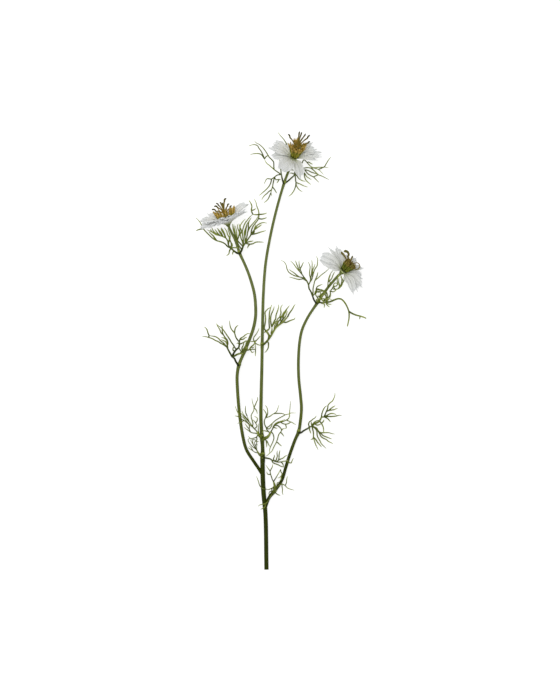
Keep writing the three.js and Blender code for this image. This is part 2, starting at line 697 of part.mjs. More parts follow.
function pistilSolid({ styles }) {
  const outline = [
    [0, 0], [0.8, 0], [1, 0.35], [0.86, 0.72], [0.5, 1], [0, 1],
  ].map(([r, h]) => new THREE.Vector2(r * OVARY_RADIUS, h * OVARY_HEIGHT));
  const lathe = new THREE.LatheGeometry(outline, OVARY_SEGMENTS);
  const points = lathe.attributes.position;
  for (let i = 0; i < points.count; i++) {
    const around = Math.atan2(points.getX(i), points.getZ(i));
    const furrow = 1 - OVARY_RIB_DEPTH * (0.5 - 0.5 * Math.cos(5 * around));
    points.setXYZ(i, points.getX(i) * furrow, points.getY(i), points.getZ(i) * furrow);
  }
  lathe.rotateX(Math.PI / 2);
  lathe.translate(0, 0, PISTIL_BASE);
  const radiusAt = (at) => THREE.MathUtils.lerp(STYLE_RADIUS, STYLE_TIP_RADIUS, at);
  const horns = styles.map((tip) => tube(styleCurve(tip), radiusAt, STYLE_SIDES, STYLE_STEPS, 0.5));
  return joined([solidOf(lathe), ...horns]);
}

const STAMEN_WIDTH = radiusLine([
  [0, FILAMENT_RADIUS], [0.4, FILAMENT_RADIUS], [0.8, ANTHER_RADIUS], [1, ANTHER_RADIUS],
]);

function stamenCurves({ stamenLength, stamenFlare, styles }, random) {
  const stylePoints = styles.flatMap((tip) => sampled(styleCurve(tip), 1));
  const curves = [];
  for (const ring of [0, 1]) {
    for (let i = 0; i < STAMENS_PER_RING; i++) {
      const angle = (2 * Math.PI * (i + 0.5 * ring + 0.3 * (random() - 0.5))) / STAMENS_PER_RING;
      const flare = degrees(stamenFlare * (ring ? 0.72 : 1.08) + 5 * (random() - 0.5));
      const length = stamenLength * (0.84 + 0.2 * random());
      const foot = STAMEN_BASE + 0.3;
      const at = (share, bow) =>
        onRing(STAMEN_RING_RADIUS + length * share * Math.sin(flare * bow), angle,
          foot + length * share * Math.cos(flare * bow));
      const curve = smoothCurve([at(0, 1), at(0.5, 0.9), at(1, 1.02)]);
      const touches = (point) => stylePoints.some((style) => style.distanceTo(point) < STYLE_CLEARANCE);
      if (!sampled(curve, 1).some(touches)) curves.push(curve);
    }
  }
  return curves;
}

function stamenSolid(bloom, random) {
  const solids = [disc(STAMEN_DISC_RADIUS, STAMEN_BASE, STAMEN_DISC_THICKNESS)];
  for (const curve of stamenCurves(bloom, random)) {
    solids.push(tube(curve, STAMEN_WIDTH, THREAD_SIDES, STAMEN_STEPS, ANTHER_POINT));
  }
  for (let i = 0; i < NECTARY_COUNT; i++) {
    const angle = (2 * Math.PI * (i + 0.5)) / NECTARY_COUNT;
    const foot = onRing(STAMEN_DISC_RADIUS - 0.5, angle, STAMEN_BASE + 0.4);
    const lip = onRing(STAMEN_DISC_RADIUS + 0.1, angle, STAMEN_BASE + NECTARY_LENGTH);
    solids.push(tube(smoothCurve([foot, lip]), () => NECTARY_RADIUS, 4, 1, 0.3));
  }
  return joined(solids);
}

function bloomPlace({ centre, axis }) {
  const out = new THREE.Vector3(...axis).normalize();
  const upper = new THREE.Vector3(0, 0, 1).addScaledVector(out, -out.z).normalize();
  const side = upper.clone().cross(out);
  return new THREE.Matrix4().makeBasis(side, upper, out).setPosition(...centre);
}

// ---- Assembly ----

const flower = new THREE.Group();
flower.add(meshOf("stem", stemSolid(0), STEM_SKIN));

Object.entries(BLOOMS).forEach(([name, bloom], number) => {
  const random = seededRandom(41 + number);
  const head = new THREE.Group();
  head.add(meshOf("petals_" + name, corollaSolid(bloom), PETAL_SKIN));
  head.add(meshOf("stamens_" + name, stamenSolid(bloom, random), STAMEN_SKIN));
  head.add(meshOf("pistil_" + name, pistilSolid(bloom), PISTIL_SKIN));
  bloomPlace(bloom).decompose(head.position, head.quaternion, head.scale);
  flower.add(head);
});

for (const [name, leaf] of Object.entries(LEAVES)) {
  flower.add(meshOf(name, largestBody(frondSolid(leaf).subtract(stemKeepOut)), LEAF_SKIN));
}

for (const [name, bracts] of Object.entries(BRACTS)) {
  const bloom = BLOOMS[bracts.bloom];
  const petalKeepOut = corollaSolid(bloom, 2 * GAP).transform(bloomPlace(bloom).toArray());
  const trimmed = frondSolid(bracts).subtract(stemKeepOut).subtract(petalKeepOut);
  flower.add(meshOf(name, largestBody(trimmed), LEAF_SKIN));
}

// The origin is at the middle of the footprint, on the surface the stem lies on.
const bounds = new THREE.Box3().setFromObject(flower, true);
const middle = bounds.getCenter(new THREE.Vector3());
flower.position.set(-middle.x, -middle.y, -bounds.min.z);

const part = new THREE.Group();
part.add(flower);

export default part;
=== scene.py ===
import math
import random

import bmesh
import bpy
from mathutils import Matrix, Vector
from mathutils.geometry import interpolate_bezier


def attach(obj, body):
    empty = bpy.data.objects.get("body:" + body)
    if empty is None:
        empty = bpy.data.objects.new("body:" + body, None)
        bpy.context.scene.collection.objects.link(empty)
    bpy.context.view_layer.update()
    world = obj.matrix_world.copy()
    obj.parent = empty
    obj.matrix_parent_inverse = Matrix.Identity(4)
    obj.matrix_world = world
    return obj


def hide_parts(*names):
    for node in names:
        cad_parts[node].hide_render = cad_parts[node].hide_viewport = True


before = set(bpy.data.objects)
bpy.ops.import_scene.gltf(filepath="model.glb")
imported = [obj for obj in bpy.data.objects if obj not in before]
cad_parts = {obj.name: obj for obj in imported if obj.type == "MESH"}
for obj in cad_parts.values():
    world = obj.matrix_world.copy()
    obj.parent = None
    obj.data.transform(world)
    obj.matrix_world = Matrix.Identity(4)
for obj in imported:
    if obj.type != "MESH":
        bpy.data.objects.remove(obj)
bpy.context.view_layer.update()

# Love-in-a-mist (Nigella damascena): one cut stem with two side branches and three white blooms, lying
# down. Routes and sizes are in millimetres, x to the right and y up the plant, with y = 0 at the cut end.

MM = 0.001

# ---- Driving sizes, in millimetres ----

GAP = 0.3  # between the pieces of a bloom
CUT_END_RADIUS = 2.2
FORK_RADIUS = 2.4
MAIN_RADIUS = 1.9
UPPER_RADIUS = 1.6
BRANCH_RADIUS = 1.65
RIGHT_START_RADIUS = 1.7
NECK_RADIUS = 1.3
RECEPTACLE_RADIUS = 2.6
RECEPTACLE_LENGTH = 3.2
STEM_RIBS = 9
RIB_DEPTH = 0.05  # share of the stem's radius
NODE_SWELLING = 0.16  # extra radius where a leaf grows, as a share
NODE_LENGTH = 3.0
STEM_SPACING = 1.0  # between the rings of a stem
CUT_FACE_REACH = 0.3  # how far up the stem its cut face may reach

# Radii of a leaf's strands at shares of their length, and what a leaf base adds to the stem's own radius.
STALK_WIDTHS = [(0, 0.84), (0.8, 0.7), (1, 0.56)]
BROAD_STALK_WIDTHS = [(0, 1.9), (0.55, 1.45), (1, 0.8)]
THREAD_WIDTHS = [(0, 0.58), (0.7, 0.48), (0.9, 0.34), (1, 0.17)]
LEAF_BASE_WALLS = [(0, 0.05), (0.3, 0.5), (0.7, 0.35), (1, 0.02)]
BROAD_STALKS = {"leaf_axil", "leaf_low_left", "leaf_middle_left", "leaf_middle_right"}
DARK_STALKS = {  # how many of a leaf's stalks, the first ones, are dark
    "bracts_left": 2, "bracts_right": 2, "bracts_top": 2, "leaf_left": 2, "leaf_low_right": 1,
    "leaf_right": 1,
}
STRENGTHS = {  # how much stouter than usual a leaf's strands are
    "bracts_left": 1.28, "bracts_top": 1.08, "bracts_right": 1.1, "leaf_low_left": 0.82,
    "leaf_low_right": 1.14, "leaf_middle_right": 1.06, "leaf_right": 1.24, "leaf_left": 1.29,
    "leaf_upper": 1.33,
}
STEM_CLEARANCE = 1.1  # between the middle of a strand and the skin of a stem that it crosses
LOWEST_THREAD = 0.8  # the middle of no strand sinks below this height
THREAD_SPACING = 1.1  # between the rings of a strand
LEAF_BASE_BELOW = 0.8  # from the node of a leaf down the stem
LEAF_BASE_ABOVE = 4.0  # and up the stem

PETAL_START = 3.8  # from the axis of the bloom to the top of a petal's claw
PETAL_HEIGHT = 0.75  # of a claw over the receptacle
PETAL_THICKNESS = 0.35
DISC_RADIUS = 3.4
DISC_THICKNESS = 1.0
DISC_STEPS = [(0.8, 0.25), (1.0, 0.1)]  # each ring of its domed top, as a width and a rise

STAMEN_RING_RADIUS = 2.9
STAMEN_RINGS = 3
STAMEN_RING_STEP = 0.3  # from one ring to the next, inwards
STAMEN_BASE = 1.5
STAMEN_FORM_LENGTH = 17.0
STAMEN_LENGTHS = (0.8, 1.03)  # the shortest and the longest, as shares
STAMEN_STRAY = 0.15  # how far one stands off its place in the ring, as a share of a step
OUTER_LEAN = 1.1  # the lean of the outer ring as a share of the bloom's own
LEAN_STEP = 0.24  # from one ring to the next
STAMEN_SWAY = 5  # degrees that one leans more or less than its ring
NECTARY_COUNT = 8
NECTARY_FOOT_RADIUS = 0.35
NECTARY_RING_RADIUS = 3.1
NECTARY_BASE = 1.2
NECTARY_LEAN = 16  # degrees, outwards
OVARY_BASE = 2.6
OVARY_FOOT_RADIUS = 2.0
OVARY_HEIGHT = 8.0
STYLE_RADIUS = 0.62
STYLE_ROOT_DEPTH = 1  # how far a style reaches into the ovary
STYLE_SPACING = 0.9  # between the rings of a style
STYLE_CLEARANCE = 0.85  # from the middle of a style to the tip of a stamen
STYLE_CURL_PARTS = 6

# ---- The plant's own places, as given routes ----

MAIN_STEM = [
    [0.4, 0, 2.2], [-0.6, 55, 2.8], [-2.6, 78, 3.2], [-3.5, 102, 3.8], [-3.4, 120, 4.2], [-5.1, 150, 4.6],
    [-4.9, 174, 4.9], [-4.2, 204, 5.2], [-3.6, 240, 5.6], [-2.7, 276, 6], [-0.5, 306, 6.2], [3.5, 330, 6.4],
    [8.8, 354, 6.6], [15.3, 378, 7.6], [20.6, 394, 10], [25.5, 405.5, 14.5],
]
LEFT_BRANCH = [
    [-3.6, 95, 3.7], [-7.9, 102, 4.4], [-12, 108, 5.2], [-19.5, 120, 6.6], [-22.9, 132, 7.8],
    [-26.5, 156, 10], [-28.5, 180, 12], [-28.8, 195, 13], [-27, 205, 13.6], [-20, 222, 14.4],
    [-13.1, 240, 15], [-10.6, 252, 15.4], [-10.3, 261, 15.8], [-11.6, 276, 16.4], [-16.6, 294, 17.4],
    [-21.4, 306, 18.2], [-26, 316, 19], [-30.8, 330, 21], [-35.2, 338.7, 22.9],
]
RIGHT_BRANCH = [
    [-0.8, 62, 3], [3, 72, 3.6], [9.5, 80, 4.4], [15.9, 90, 5], [19.6, 102, 5.6], [23.3, 114, 6.2],
    [29, 130, 7], [32.5, 138, 7.4], [34.5, 150, 7.8], [35.4, 162, 8], [34.5, 174, 8.2], [32.7, 192, 8.5],
    [32.4, 210, 8.8], [33.6, 228, 9.2], [36, 240, 9.6], [41.4, 252, 10.4], [50.5, 266, 13],
    [61.2, 281.5, 18.5], [70.6, 292.6, 23],
]

# Each petal is [turn, lift, twist, length, width, form]. The stamens are (form, length, lean, number in a
# ring). Each style is [side, upper side, height along the axis, radius and turn of its curled tip, share of
# the full thickness].
BLOOMS = {
    "top": {
        "centre": [28, 411.5, 20.2],
        "axis": [0.2, 0.72, 0.66],
        "petals": [
            [21, 0, 0, 31, 11, "lobed"], [-17, 1, 0, 26, 15, "broad"], [-57, 8, 0, 22.5, 12, "ragged"],
            [-80, 15, 0, 26, 11, "lobed"], [-103, 20, 0, 23, 11, "ragged"], [-134, 8, 0, 16, 11, "broad"],
            [178, -6, 0, 19, 12, "lobed"], [144, 24, 0, 24, 9, "pointed"], [124, 19, 0, 23, 10, "lobed"],
            [108, 12, 0, 26, 10, "ragged"], [93, 8, 0, 21, 9, "pointed"],
        ],
        "stamens": ("open", 18, 20, 15),
        "styles": [
            [-1.6, -9, 25, 1.4, 80, 1.2], [0.6, -10, 24.6, 1.2, 80, 1.1], [4.4, -10, 23.6, 1.4, 80, 1.1],
            [7.6, -8, 22.6, 3.2, 80, 1.2], [9.4, -3, 20.5, 2.4, 80, 1.1], [-9.4, -3, 21.5, 2.6, 95, 1.2],
            [2.6, -4, 23, 1.2, 70, 0.9], [3, 7, 20, 1.2, 70, 0.9],
        ],
    },
    "left": {
        "centre": [-38, 346, 24.67],
        "axis": [-0.29, 0.94, 0.2],
        "petals": [
            [112, 25, 0, 26, 15, "broad"], [146, 25, 0, 24, 12, "lobed"], [178, 11, 0, 23, 12, "pointed"],
            [-147, 25, 0, 26, 13, "ragged"], [-121, 9, 0, 26, 12, "lobed"], [-103, 20, 0, 25, 12, "broad"],
            [-80, 6, 0, 25, 13, "broad"], [-60, 20, 0, 24, 14, "broad"], [-52, 8, 0, 24, 13, "broad"],
            [-28, 10, 0, 22, 15, "broad"], [-34, 26, 0, 18, 15, "broad"], [-8, 28, 0, 17, 15, "broad"],
            [-4, 13, 0, 21, 15, "broad"], [-21, 19, 0, 20, 15, "broad"], [6, 20, 0, 19.5, 15, "broad"],
            [34, 21, 0, 19, 14, "broad"], [18, 27, 0, 17, 15, "broad"], [24, 19, 0, 20, 14, "broad"],
            [44, 24, 0, 19, 14, "broad"], [58, 24, 0, 22, 12, "ragged"], [86, 15, 0, 19.5, 12, "lobed"],
        ],
        "stamens": ("bowed", 18, 8, 13),
        "styles": [
            [-7.8, 0, 15.5, 2.6, 110, 1.2], [-5, 3, 18.6, 2.6, 110, 1.3], [-0.6, -3, 19.6, 2, 120, 1.2],
            [0.6, 4, 19.8, 2.2, 110, 1.1], [3.4, -2, 22.2, 1.8, 130, 1.4], [5, 3, 17.4, 1.8, 120, 1.2],
            [6.6, -3, 13.6, 1.8, 120, 1.1], [-3.4, -4, 19.4, 2.4, 110, 1.1],
        ],
    },
    "right": {
        "centre": [76, 298, 25.55],
        "axis": [0.65, 0.65, 0.3],
        "petals": [
            [-69, -8, -42, 25.5, 15, "broad"], [-50, -12, -25, 17, 11, "lobed"],
            [-90, 8, -30, 19.5, 14, "lobed"], [-99, 13, -30, 26, 4, "pointed"],
            [-120, 24, -25, 25, 8, "lobed"], [-142, 30, 0, 19, 12, "broad"],
            [180, 42, 0, 22.5, 9, "pointed"], [56, -11, 35, 27.5, 11, "pointed"],
            [78, -8, 12, 23, 10, "lobed"], [99, 2, 24, 23.5, 11, "pointed"], [115, 8, 25, 21, 12, "lobed"],
            [131, 9, 32, 23.5, 12, "lobed"], [146, 32, 0, 24, 8, "pointed"], [176, 3, 0, 24, 12, "broad"],
        ],
        "stamens": ("young", 13.8, 15, 11),
        "styles": [
            [2.6, 0, 14.6, 3.4, 300, 1], [-6.6, 0, 15, 3.3, 165, 2], [-13.9, -2, 13.2, 1.2, 40, 1.6],
            [-3, -4, 15.5, 2, 80, 1.2], [1, 4, 13.5, 2.4, 260, 0.8],
        ],
    },
}

# Each leaf grows at [x, y] on a stem, and has stalks and then finer, paler threads. Each strand of them is
# [rise, [x, y], [x, y], ...]: it leaves the node or an earlier strand at its first point, and its tip ends
# `rise` higher than it began.
LEAVES = {
    "leaf_axil": ("right", [6.5, 76.5], [
        [5, [6.5, 76.5], [8.5, 80], [8.8, 83.5], [8.3, 86], [7.5, 88.5]],
    ], [
        [3, [7.5, 88.5], [6.5, 90], [5.5, 93], [4.5, 96], [4, 99], [3, 100.5], [1.5, 102.5], [0, 105]],
        [4, [4, 99], [5.5, 101.5], [6.5, 104], [6.5, 106]],
        [2, [4.5, 96], [3.5, 95.5], [1.5, 96], [0.8, 98.5]],
        [4, [7.5, 88.5], [9.5, 91.5], [11.5, 95], [13, 97.5], [14.5, 100.7]],
        [-2, [14.5, 100.7], [15, 98], [16, 96.5], [15.5, 94.5], [13.5, 92.5], [11.7, 92]],
        [3, [15.5, 94.5], [15, 91.5], [14.5, 89.5]],
        [2, [8.8, 83.5], [10.5, 83.5], [11, 86], [12, 87.7], [13.5, 88]],
        [3, [8.5, 80], [7, 82.3], [5.5, 81.5], [4, 81], [2.2, 80.3], [0.5, 80.8]],
        [1, [6.5, 76.5], [4.5, 78.5], [3, 77], [3, 74.5]],
        [1, [6.5, 76.5], [5, 74], [3.5, 71.5]],
        [3, [6.5, 76.5], [9, 77.5], [9.5, 80]],
        [3, [6.5, 76.5], [5.5, 79.5], [7, 82.5], [8.8, 85.5]],
        [2, [8.5, 80], [12.5, 84], [16, 86], [17.5, 85.3], [19, 84.5], [20.8, 82.5], [22.6, 81.4],
         [28.5, 79.6]],
        [5, [19, 84.5], [20.4, 87], [20.6, 90], [21.5, 94]],
        [-1, [16, 86], [16, 83.5], [16.5, 80], [16.3, 77.5], [17.2, 74.8]],
        [2, [9, 77.5], [11, 75.8], [12.6, 75], [14.5, 74.6]],
        [0, [3.5, 71.5], [0, 66.5], [-4, 65.5], [-6.5, 64.8], [-8, 63.5]],
        [0, [0, 66.5], [-1.5, 62.5], [-4, 61.2], [-5.5, 60.3]],
        [1, [0.5, 80.8], [-3.5, 81.5], [-6.5, 85], [-7.5, 88.5], [-8.7, 91.5], [-9.6, 94]],
    ]),
    "leaf_low_right": ("main", [-3.5, 110], [
        [2, [-3.5, 110], [-1.2, 111.9], [1.3, 111.6], [4, 111], [5.8, 109.8], [8, 109]],
    ], [
        [3, [8, 109], [10.5, 108], [15, 108], [17, 108.5], [19.5, 109], [22.5, 110]],
        [-1, [5.8, 109.8], [6.7, 107.5], [9.5, 106], [11.7, 105.3], [14, 104], [16.7, 103], [18.5, 103]],
        [4, [10.5, 108], [12.6, 109.8], [15, 111], [17.2, 112], [19, 113.7], [21.5, 115]],
        [5, [8, 109], [7.5, 111.5], [8.5, 113.5], [8, 115.5]],
        [6, [8, 109], [10, 109.5], [10.8, 112], [11.3, 113.5], [11, 116.5], [11.3, 119.5]],
        [5, [12.6, 109.8], [13, 112], [13, 114.5], [13.5, 117.5], [14, 120]],
        [2, [15, 108], [16.5, 106.5], [17.2, 105], [17.5, 103]],
        [2, [19.5, 109], [23, 107.5], [25, 107], [26.3, 109.8], [27.5, 112]],
    ]),
    "leaf_low_left": ("main", [-3.5, 114.5], [
        [1, [-3.5, 114.5], [-5.5, 114.5], [-7.8, 117], [-9.2, 119.5]],
    ], [
        [3, [-9.2, 119.5], [-10.5, 121], [-13.3, 123], [-16, 126], [-17.8, 129], [-18, 130.5],
         [-16.5, 131.3], [-14, 131.3]],
        [0, [-7.8, 117], [-10.5, 117.4], [-13.3, 119.2], [-16, 121], [-18, 122.4]],
        [5, [-10.5, 121], [-12.4, 124.5], [-14.2, 127.8], [-15.5, 130]],
        [4, [-9.2, 119.5], [-9.5, 122], [-9.4, 124.2], [-8.3, 126]],
        [6, [-10.5, 121], [-10.7, 124], [-11.5, 127], [-10.5, 129], [-8, 128.5]],
        [5, [-9.2, 119.5], [-11.5, 123], [-13, 126.5], [-13.5, 129.5], [-12, 132.5]],
        [4, [-10.7, 124], [-9.3, 126.8], [-9.8, 129.5], [-12, 130.3], [-16, 130]],
        [2, [-13.3, 119.2], [-15, 122.5], [-17, 124]],
    ]),
    "leaf_middle_left": ("main", [-4.2, 133], [
        [3, [-4.2, 133], [-6, 133.7], [-7.8, 136], [-9.2, 138.7]],
    ], [
        [2, [-7.8, 136], [-10.5, 136.7], [-13.3, 137], [-15.5, 137.8], [-17.8, 139.6], [-20, 141],
         [-22, 142.8]],
        [5, [-9.2, 138.7], [-11.5, 141], [-13.7, 143.3], [-15.5, 146.5], [-17, 148.7], [-18, 151.5],
         [-18.8, 154]],
        [6, [-13.7, 143.3], [-17, 145.8], [-19.6, 147.8], [-22, 149.6], [-24.5, 151], [-26.5, 154],
         [-28.3, 157.8], [-29.6, 160.5], [-31, 164.6]],
        [6, [-17, 148.7], [-20, 152.5], [-22.5, 155.5], [-24, 159]],
        [4, [-18.8, 154], [-20, 156.5], [-20.5, 160], [-20.4, 164.5]],
        [8, [-13.7, 143.3], [-13, 146.5], [-13.7, 149], [-14.4, 151.5], [-14.9, 154], [-13.7, 157],
         [-12.4, 159.2], [-12, 162.4], [-12.8, 165.5], [-13.7, 169], [-14, 172]],
        [3, [-12, 162.4], [-10.5, 165.5], [-9.2, 168.7], [-8.3, 170.5], [-8.7, 173.3]],
        [-2, [-12, 162.4], [-10.1, 160.5], [-9.2, 158.7], [-8.7, 156]],
        [4, [-11.5, 141], [-9, 144], [-10.5, 147], [-12, 149.2], [-14.2, 150.5]],
        [5, [-10.5, 147], [-9, 149], [-8.7, 152], [-11.5, 153.7]],
        [1, [-7.8, 136], [-9.6, 132.8], [-12.8, 131.7], [-15.5, 131.5], [-17.8, 133.7]],
        [-1, [-9.6, 132.8], [-9, 130.5], [-10.5, 128.7], [-7, 128.3]],
        [3, [-15.5, 137.8], [-17, 141], [-19, 143.5], [-21, 146.5]],
        [4, [-6, 133.7], [-7.4, 138], [-7.7, 142], [-7.4, 146.5]],
        [4, [-11.5, 141], [-14.5, 145], [-18, 149.3], [-21, 152.3], [-23.5, 155], [-25.8, 158]],
        [3, [-17, 145.8], [-20, 149.5], [-22.5, 152.3], [-24.8, 154]],
        [4, [-17, 141], [-16.5, 144], [-18.5, 147]],
        [2, [-24.5, 151], [-27.8, 153.5], [-31.5, 154.2]],
        [1, [-22, 149.6], [-25, 148], [-28.5, 146.5]],
    ]),
    "leaf_middle_right": ("main", [-4, 130], [
        [3, [-4, 130], [-1.5, 131.5], [1.3, 132.8], [3.5, 135.5], [4.9, 138.3]],
    ], [
        [3, [4.9, 138.3], [6.3, 140.5], [7.6, 142.8], [8.8, 144.6], [11.3, 146.5], [14.5, 147.8],
         [17.6, 148.7], [20.4, 150], [22.6, 151.5], [23.5, 154.2], [23.5, 157.4], [24, 161.5], [24.2, 165],
         [24.7, 169]],
        [3, [6.3, 140.5], [8.3, 145.2], [11.5, 147.7], [15.5, 149], [19, 150.6]],
        [1, [3.5, 135.5], [3, 138], [0.4, 138.7], [-2.4, 139.2], [-4, 137]],
        [4, [3, 138], [1, 140], [0.4, 142], [2.6, 143.3], [5, 145.5], [6.7, 147], [9, 149.2], [11.7, 151],
         [14.5, 152.6], [16.7, 153.7], [19.5, 155.3], [22.2, 155.8], [25, 157], [30, 157]],
        [2, [14.5, 147.8], [16.7, 146.5], [19.5, 145.8], [22.6, 146.5], [25, 148], [27.6, 146.5],
         [30, 145.3]],
        [-2, [19.5, 145.8], [20, 144], [20.4, 142], [18.1, 141.4]],
        [3, [20.4, 150], [23, 148.8], [25, 148]],
        [-3, [8.8, 144.6], [11.3, 144.6], [13.1, 143.3], [14.9, 141.5], [15.6, 139.6], [14.5, 137.8],
         [12.6, 135], [11.7, 131.5], [10.4, 127.8], [8.5, 124.2], [7.2, 121.5], [5.8, 118.7], [3.5, 116.5],
         [1.3, 114.6], [-0.5, 113.3]],
        [2, [15.6, 139.6], [16.7, 141], [18.5, 141.5]],
        [-2, [14.5, 137.8], [16.7, 135.5], [18.1, 133.3]],
        [-1, [10.4, 127.8], [12.2, 126.9], [13.5, 125.5], [15.8, 123.7]],
        [-3, [4.9, 138.3], [6.7, 136.5], [7.6, 134.2], [7.9, 131.5], [6.7, 127.8], [5.4, 125], [4.2, 122.4],
         [3.5, 119.6], [3.5, 116.5]],
        [2, [-1.5, 131.5], [0, 129.5], [0.6, 126], [0.5, 122.4]],
        [2, [0, 129.5], [1.3, 128.3], [2.6, 125.3], [4, 123.3]],
        [1, [7.6, 142.8], [9.5, 142], [11.3, 141.5]],
        [4, [0.4, 142], [3, 141], [5, 143], [6.7, 147]],
        [6, [0.4, 142], [-1.5, 146], [-1.5, 149.6], [-0.5, 152], [1.7, 152.8], [4, 153.7], [6.3, 155.5],
         [8.1, 156.5], [10, 157.8], [11.3, 160], [12.2, 162.8], [13.1, 165.5]],
        [3, [8.1, 156.5], [12.2, 156.7], [16.3, 156.5], [19.5, 155.3]],
        [7, [-0.5, 152], [0.4, 155.5], [-1, 158.7], [-2.8, 161]],
        [5, [-0.5, 152], [1.3, 155], [1.7, 158.7], [0.8, 162.8], [-1, 165]],
    ]),
    "leaf_right": ("right", [32.5, 136.5], [
        [4, [32.5, 136.5], [35, 137.3], [37.3, 139], [39.8, 140.5], [42, 141.7], [43.5, 142.8], [46, 144]],
        [3, [46, 144], [48.5, 146.4], [51.2, 147.5], [53.5, 149.1], [54.5, 151], [55.5, 152.7],
         [58, 153.2]],
    ], [
        [4, [58, 153.2], [59.4, 156.4], [60.3, 158.6], [61.6, 161.8], [62.1, 165], [64, 167.3], [66.2, 169],
         [67.8, 171.8], [68.7, 174.5], [68.8, 177.5]],
        [2, [60.3, 158.6], [62.5, 159.5], [65.3, 160], [68, 160.5], [70.3, 161.4], [71.8, 161.6]],
        [5, [62.5, 159.5], [65.7, 162.3], [67.5, 163.6], [69.2, 164.5]],
        [4, [58, 153.2], [61.5, 155], [64, 156.4], [66.6, 156.6], [69, 156], [70.3, 155]],
        [1, [58, 153.2], [62, 153.6], [65.7, 153.6], [69.8, 154], [73, 154.8], [75.7, 154.5]],
        [-2, [58, 153.2], [61.5, 151.6], [63, 150], [64.5, 148]],
        [6, [55.5, 152.7], [55.5, 154.5], [56.2, 157.7], [57.5, 161], [59, 163.2], [61, 164.5]],
        [1, [53.5, 149.1], [55.3, 146.8], [56.6, 144.5], [57.5, 141.4], [57.5, 138.2], [57.1, 136.8]],
        [2, [55.3, 146.8], [57.2, 148.5], [58, 150.5]],
        [5, [43.5, 142.8], [42.5, 145.9], [43.5, 148.2], [45.3, 149.5], [47, 151], [49, 152.3],
         [50.3, 154.5]],
        [4, [46, 144], [45.3, 146.5], [45.3, 148.6]],
        [5, [46, 144], [47.5, 147], [50, 149], [53, 150]],
        [2, [48.5, 146.4], [50.7, 145], [53.5, 145.5], [55.3, 146.6]],
        [-1, [43.5, 142.8], [43.5, 140.5], [44, 139], [45, 136.3]],
        [1, [46, 144], [46.5, 141.5], [47.1, 139], [47.5, 136], [47.5, 132.7], [48.5, 129], [49.4, 126],
         [50.7, 123.2], [52.2, 120]],
        [3, [47.5, 132.7], [49.8, 130.5], [51.6, 127.7], [53.5, 125.5], [55.5, 123]],
        [-1, [47.5, 132.7], [46.5, 131], [44.5, 130.7]],
        [-2, [46, 144], [49.8, 141], [51, 138.2], [51, 136], [51.6, 133.2], [53.5, 130], [55.3, 126.4],
         [58, 123.6], [60.3, 121.4]],
        [2, [46, 144], [50.7, 141.7], [52.1, 139.3], [54, 137.7], [57, 137.3], [60, 137.5], [63, 137.3],
         [66.2, 136.4], [68.7, 136]],
        [4, [52.1, 139.3], [54, 135.5], [55.3, 133.2], [57.5, 131.8], [60.3, 130.5], [62.5, 128.6],
         [65.3, 127.3], [67.2, 126]],
        [1, [54, 137.7], [55.3, 136.3], [57, 134.5], [60, 133.2], [62.5, 132.3], [65.8, 131]],
    ]),
    "leaf_left": ("left", [-27.3, 204], [
        [5, [-27.3, 204], [-28.9, 206.5], [-30.2, 208.6], [-31.8, 211.9], [-33.7, 213.3], [-35.2, 215.7],
         [-36.8, 218.6], [-38.1, 221.1], [-39.3, 223.2]],
        [3, [-33.7, 213.3], [-32.5, 216.3], [-31, 218.7], [-29.5, 220.5], [-27.3, 222.3], [-26.6, 225.7],
         [-26.6, 228.2]],
        [1, [-33.7, 213.3], [-30.6, 214.6], [-28.5, 215.7], [-25.6, 216.5], [-23, 216.5]],
    ], [
        [1, [-39.3, 223.2], [-42.2, 225.2], [-45.6, 227], [-48, 228.6], [-50.2, 229.4], [-52.7, 230.9],
         [-55.6, 232.1], [-57.2, 232.5], [-59.7, 233.2], [-63.5, 233.6]],
        [4, [-57.2, 232.5], [-56.8, 234.4], [-57.7, 236.5], [-58.5, 239.4], [-59.5, 241.5], [-61.5, 243]],
        [4, [-39.3, 223.2], [-42.7, 227.3], [-45.2, 229], [-46.8, 231], [-49.3, 232.8], [-51.4, 233.6],
         [-54.3, 234], [-56.5, 234.6]],
        [2, [-39.3, 223.2], [-38, 226], [-39, 229], [-40.5, 231], [-42.2, 232], [-44.5, 232.5]],
        [5, [-38, 226], [-38.5, 229.5], [-41, 232.8], [-42.7, 235.3], [-44.8, 237.3], [-46, 240.3],
         [-47.3, 242.3], [-48.5, 244.4], [-49.5, 246.5]],
        [7, [-42.7, 235.3], [-43.5, 238], [-43.5, 241.5], [-43.8, 245]],
        [6, [-38.1, 221.1], [-38.5, 224.5], [-40, 228], [-42.7, 229.5], [-45, 230.5]],
        [2, [-29.5, 220.5], [-31, 222.3], [-32.7, 225.3], [-34.3, 227.3], [-36.4, 231], [-39, 234.8],
         [-41, 237.8], [-43.1, 240.7], [-44.8, 242.3], [-47.3, 244], [-49, 245.7]],
        [4, [-31, 218.7], [-33, 220], [-32.5, 222.5], [-31.5, 224]],
        [5, [-26.6, 228.2], [-28.5, 230.3], [-30.2, 233.2], [-31.4, 237], [-33.5, 239.4], [-35.2, 242.3],
         [-36, 245.7], [-36.4, 249.4]],
        [4, [-31.4, 237], [-30.6, 241.5], [-29, 243.6], [-27.5, 245]],
        [6, [-26.6, 228.2], [-25.4, 231.5], [-22.7, 233.2], [-20.2, 235.2], [-17.7, 236.5], [-16, 236.3]],
        [3, [-26.6, 225.7], [-24, 226.7], [-21.8, 227.8], [-20.2, 229], [-18, 229.4]],
        [4, [-25.9, 230], [-22.7, 230.7], [-20.6, 232.3], [-19, 232.8]],
        [2, [-26.6, 225.7], [-27.8, 227], [-29.3, 226.5]],
        [2, [-25.6, 216.5], [-24.8, 218.6], [-26.4, 221], [-26.8, 223]],
        [4, [-25.6, 216.5], [-23.5, 219], [-22.2, 221.5], [-20.2, 224.8], [-19.8, 227.3], [-19, 229.4]],
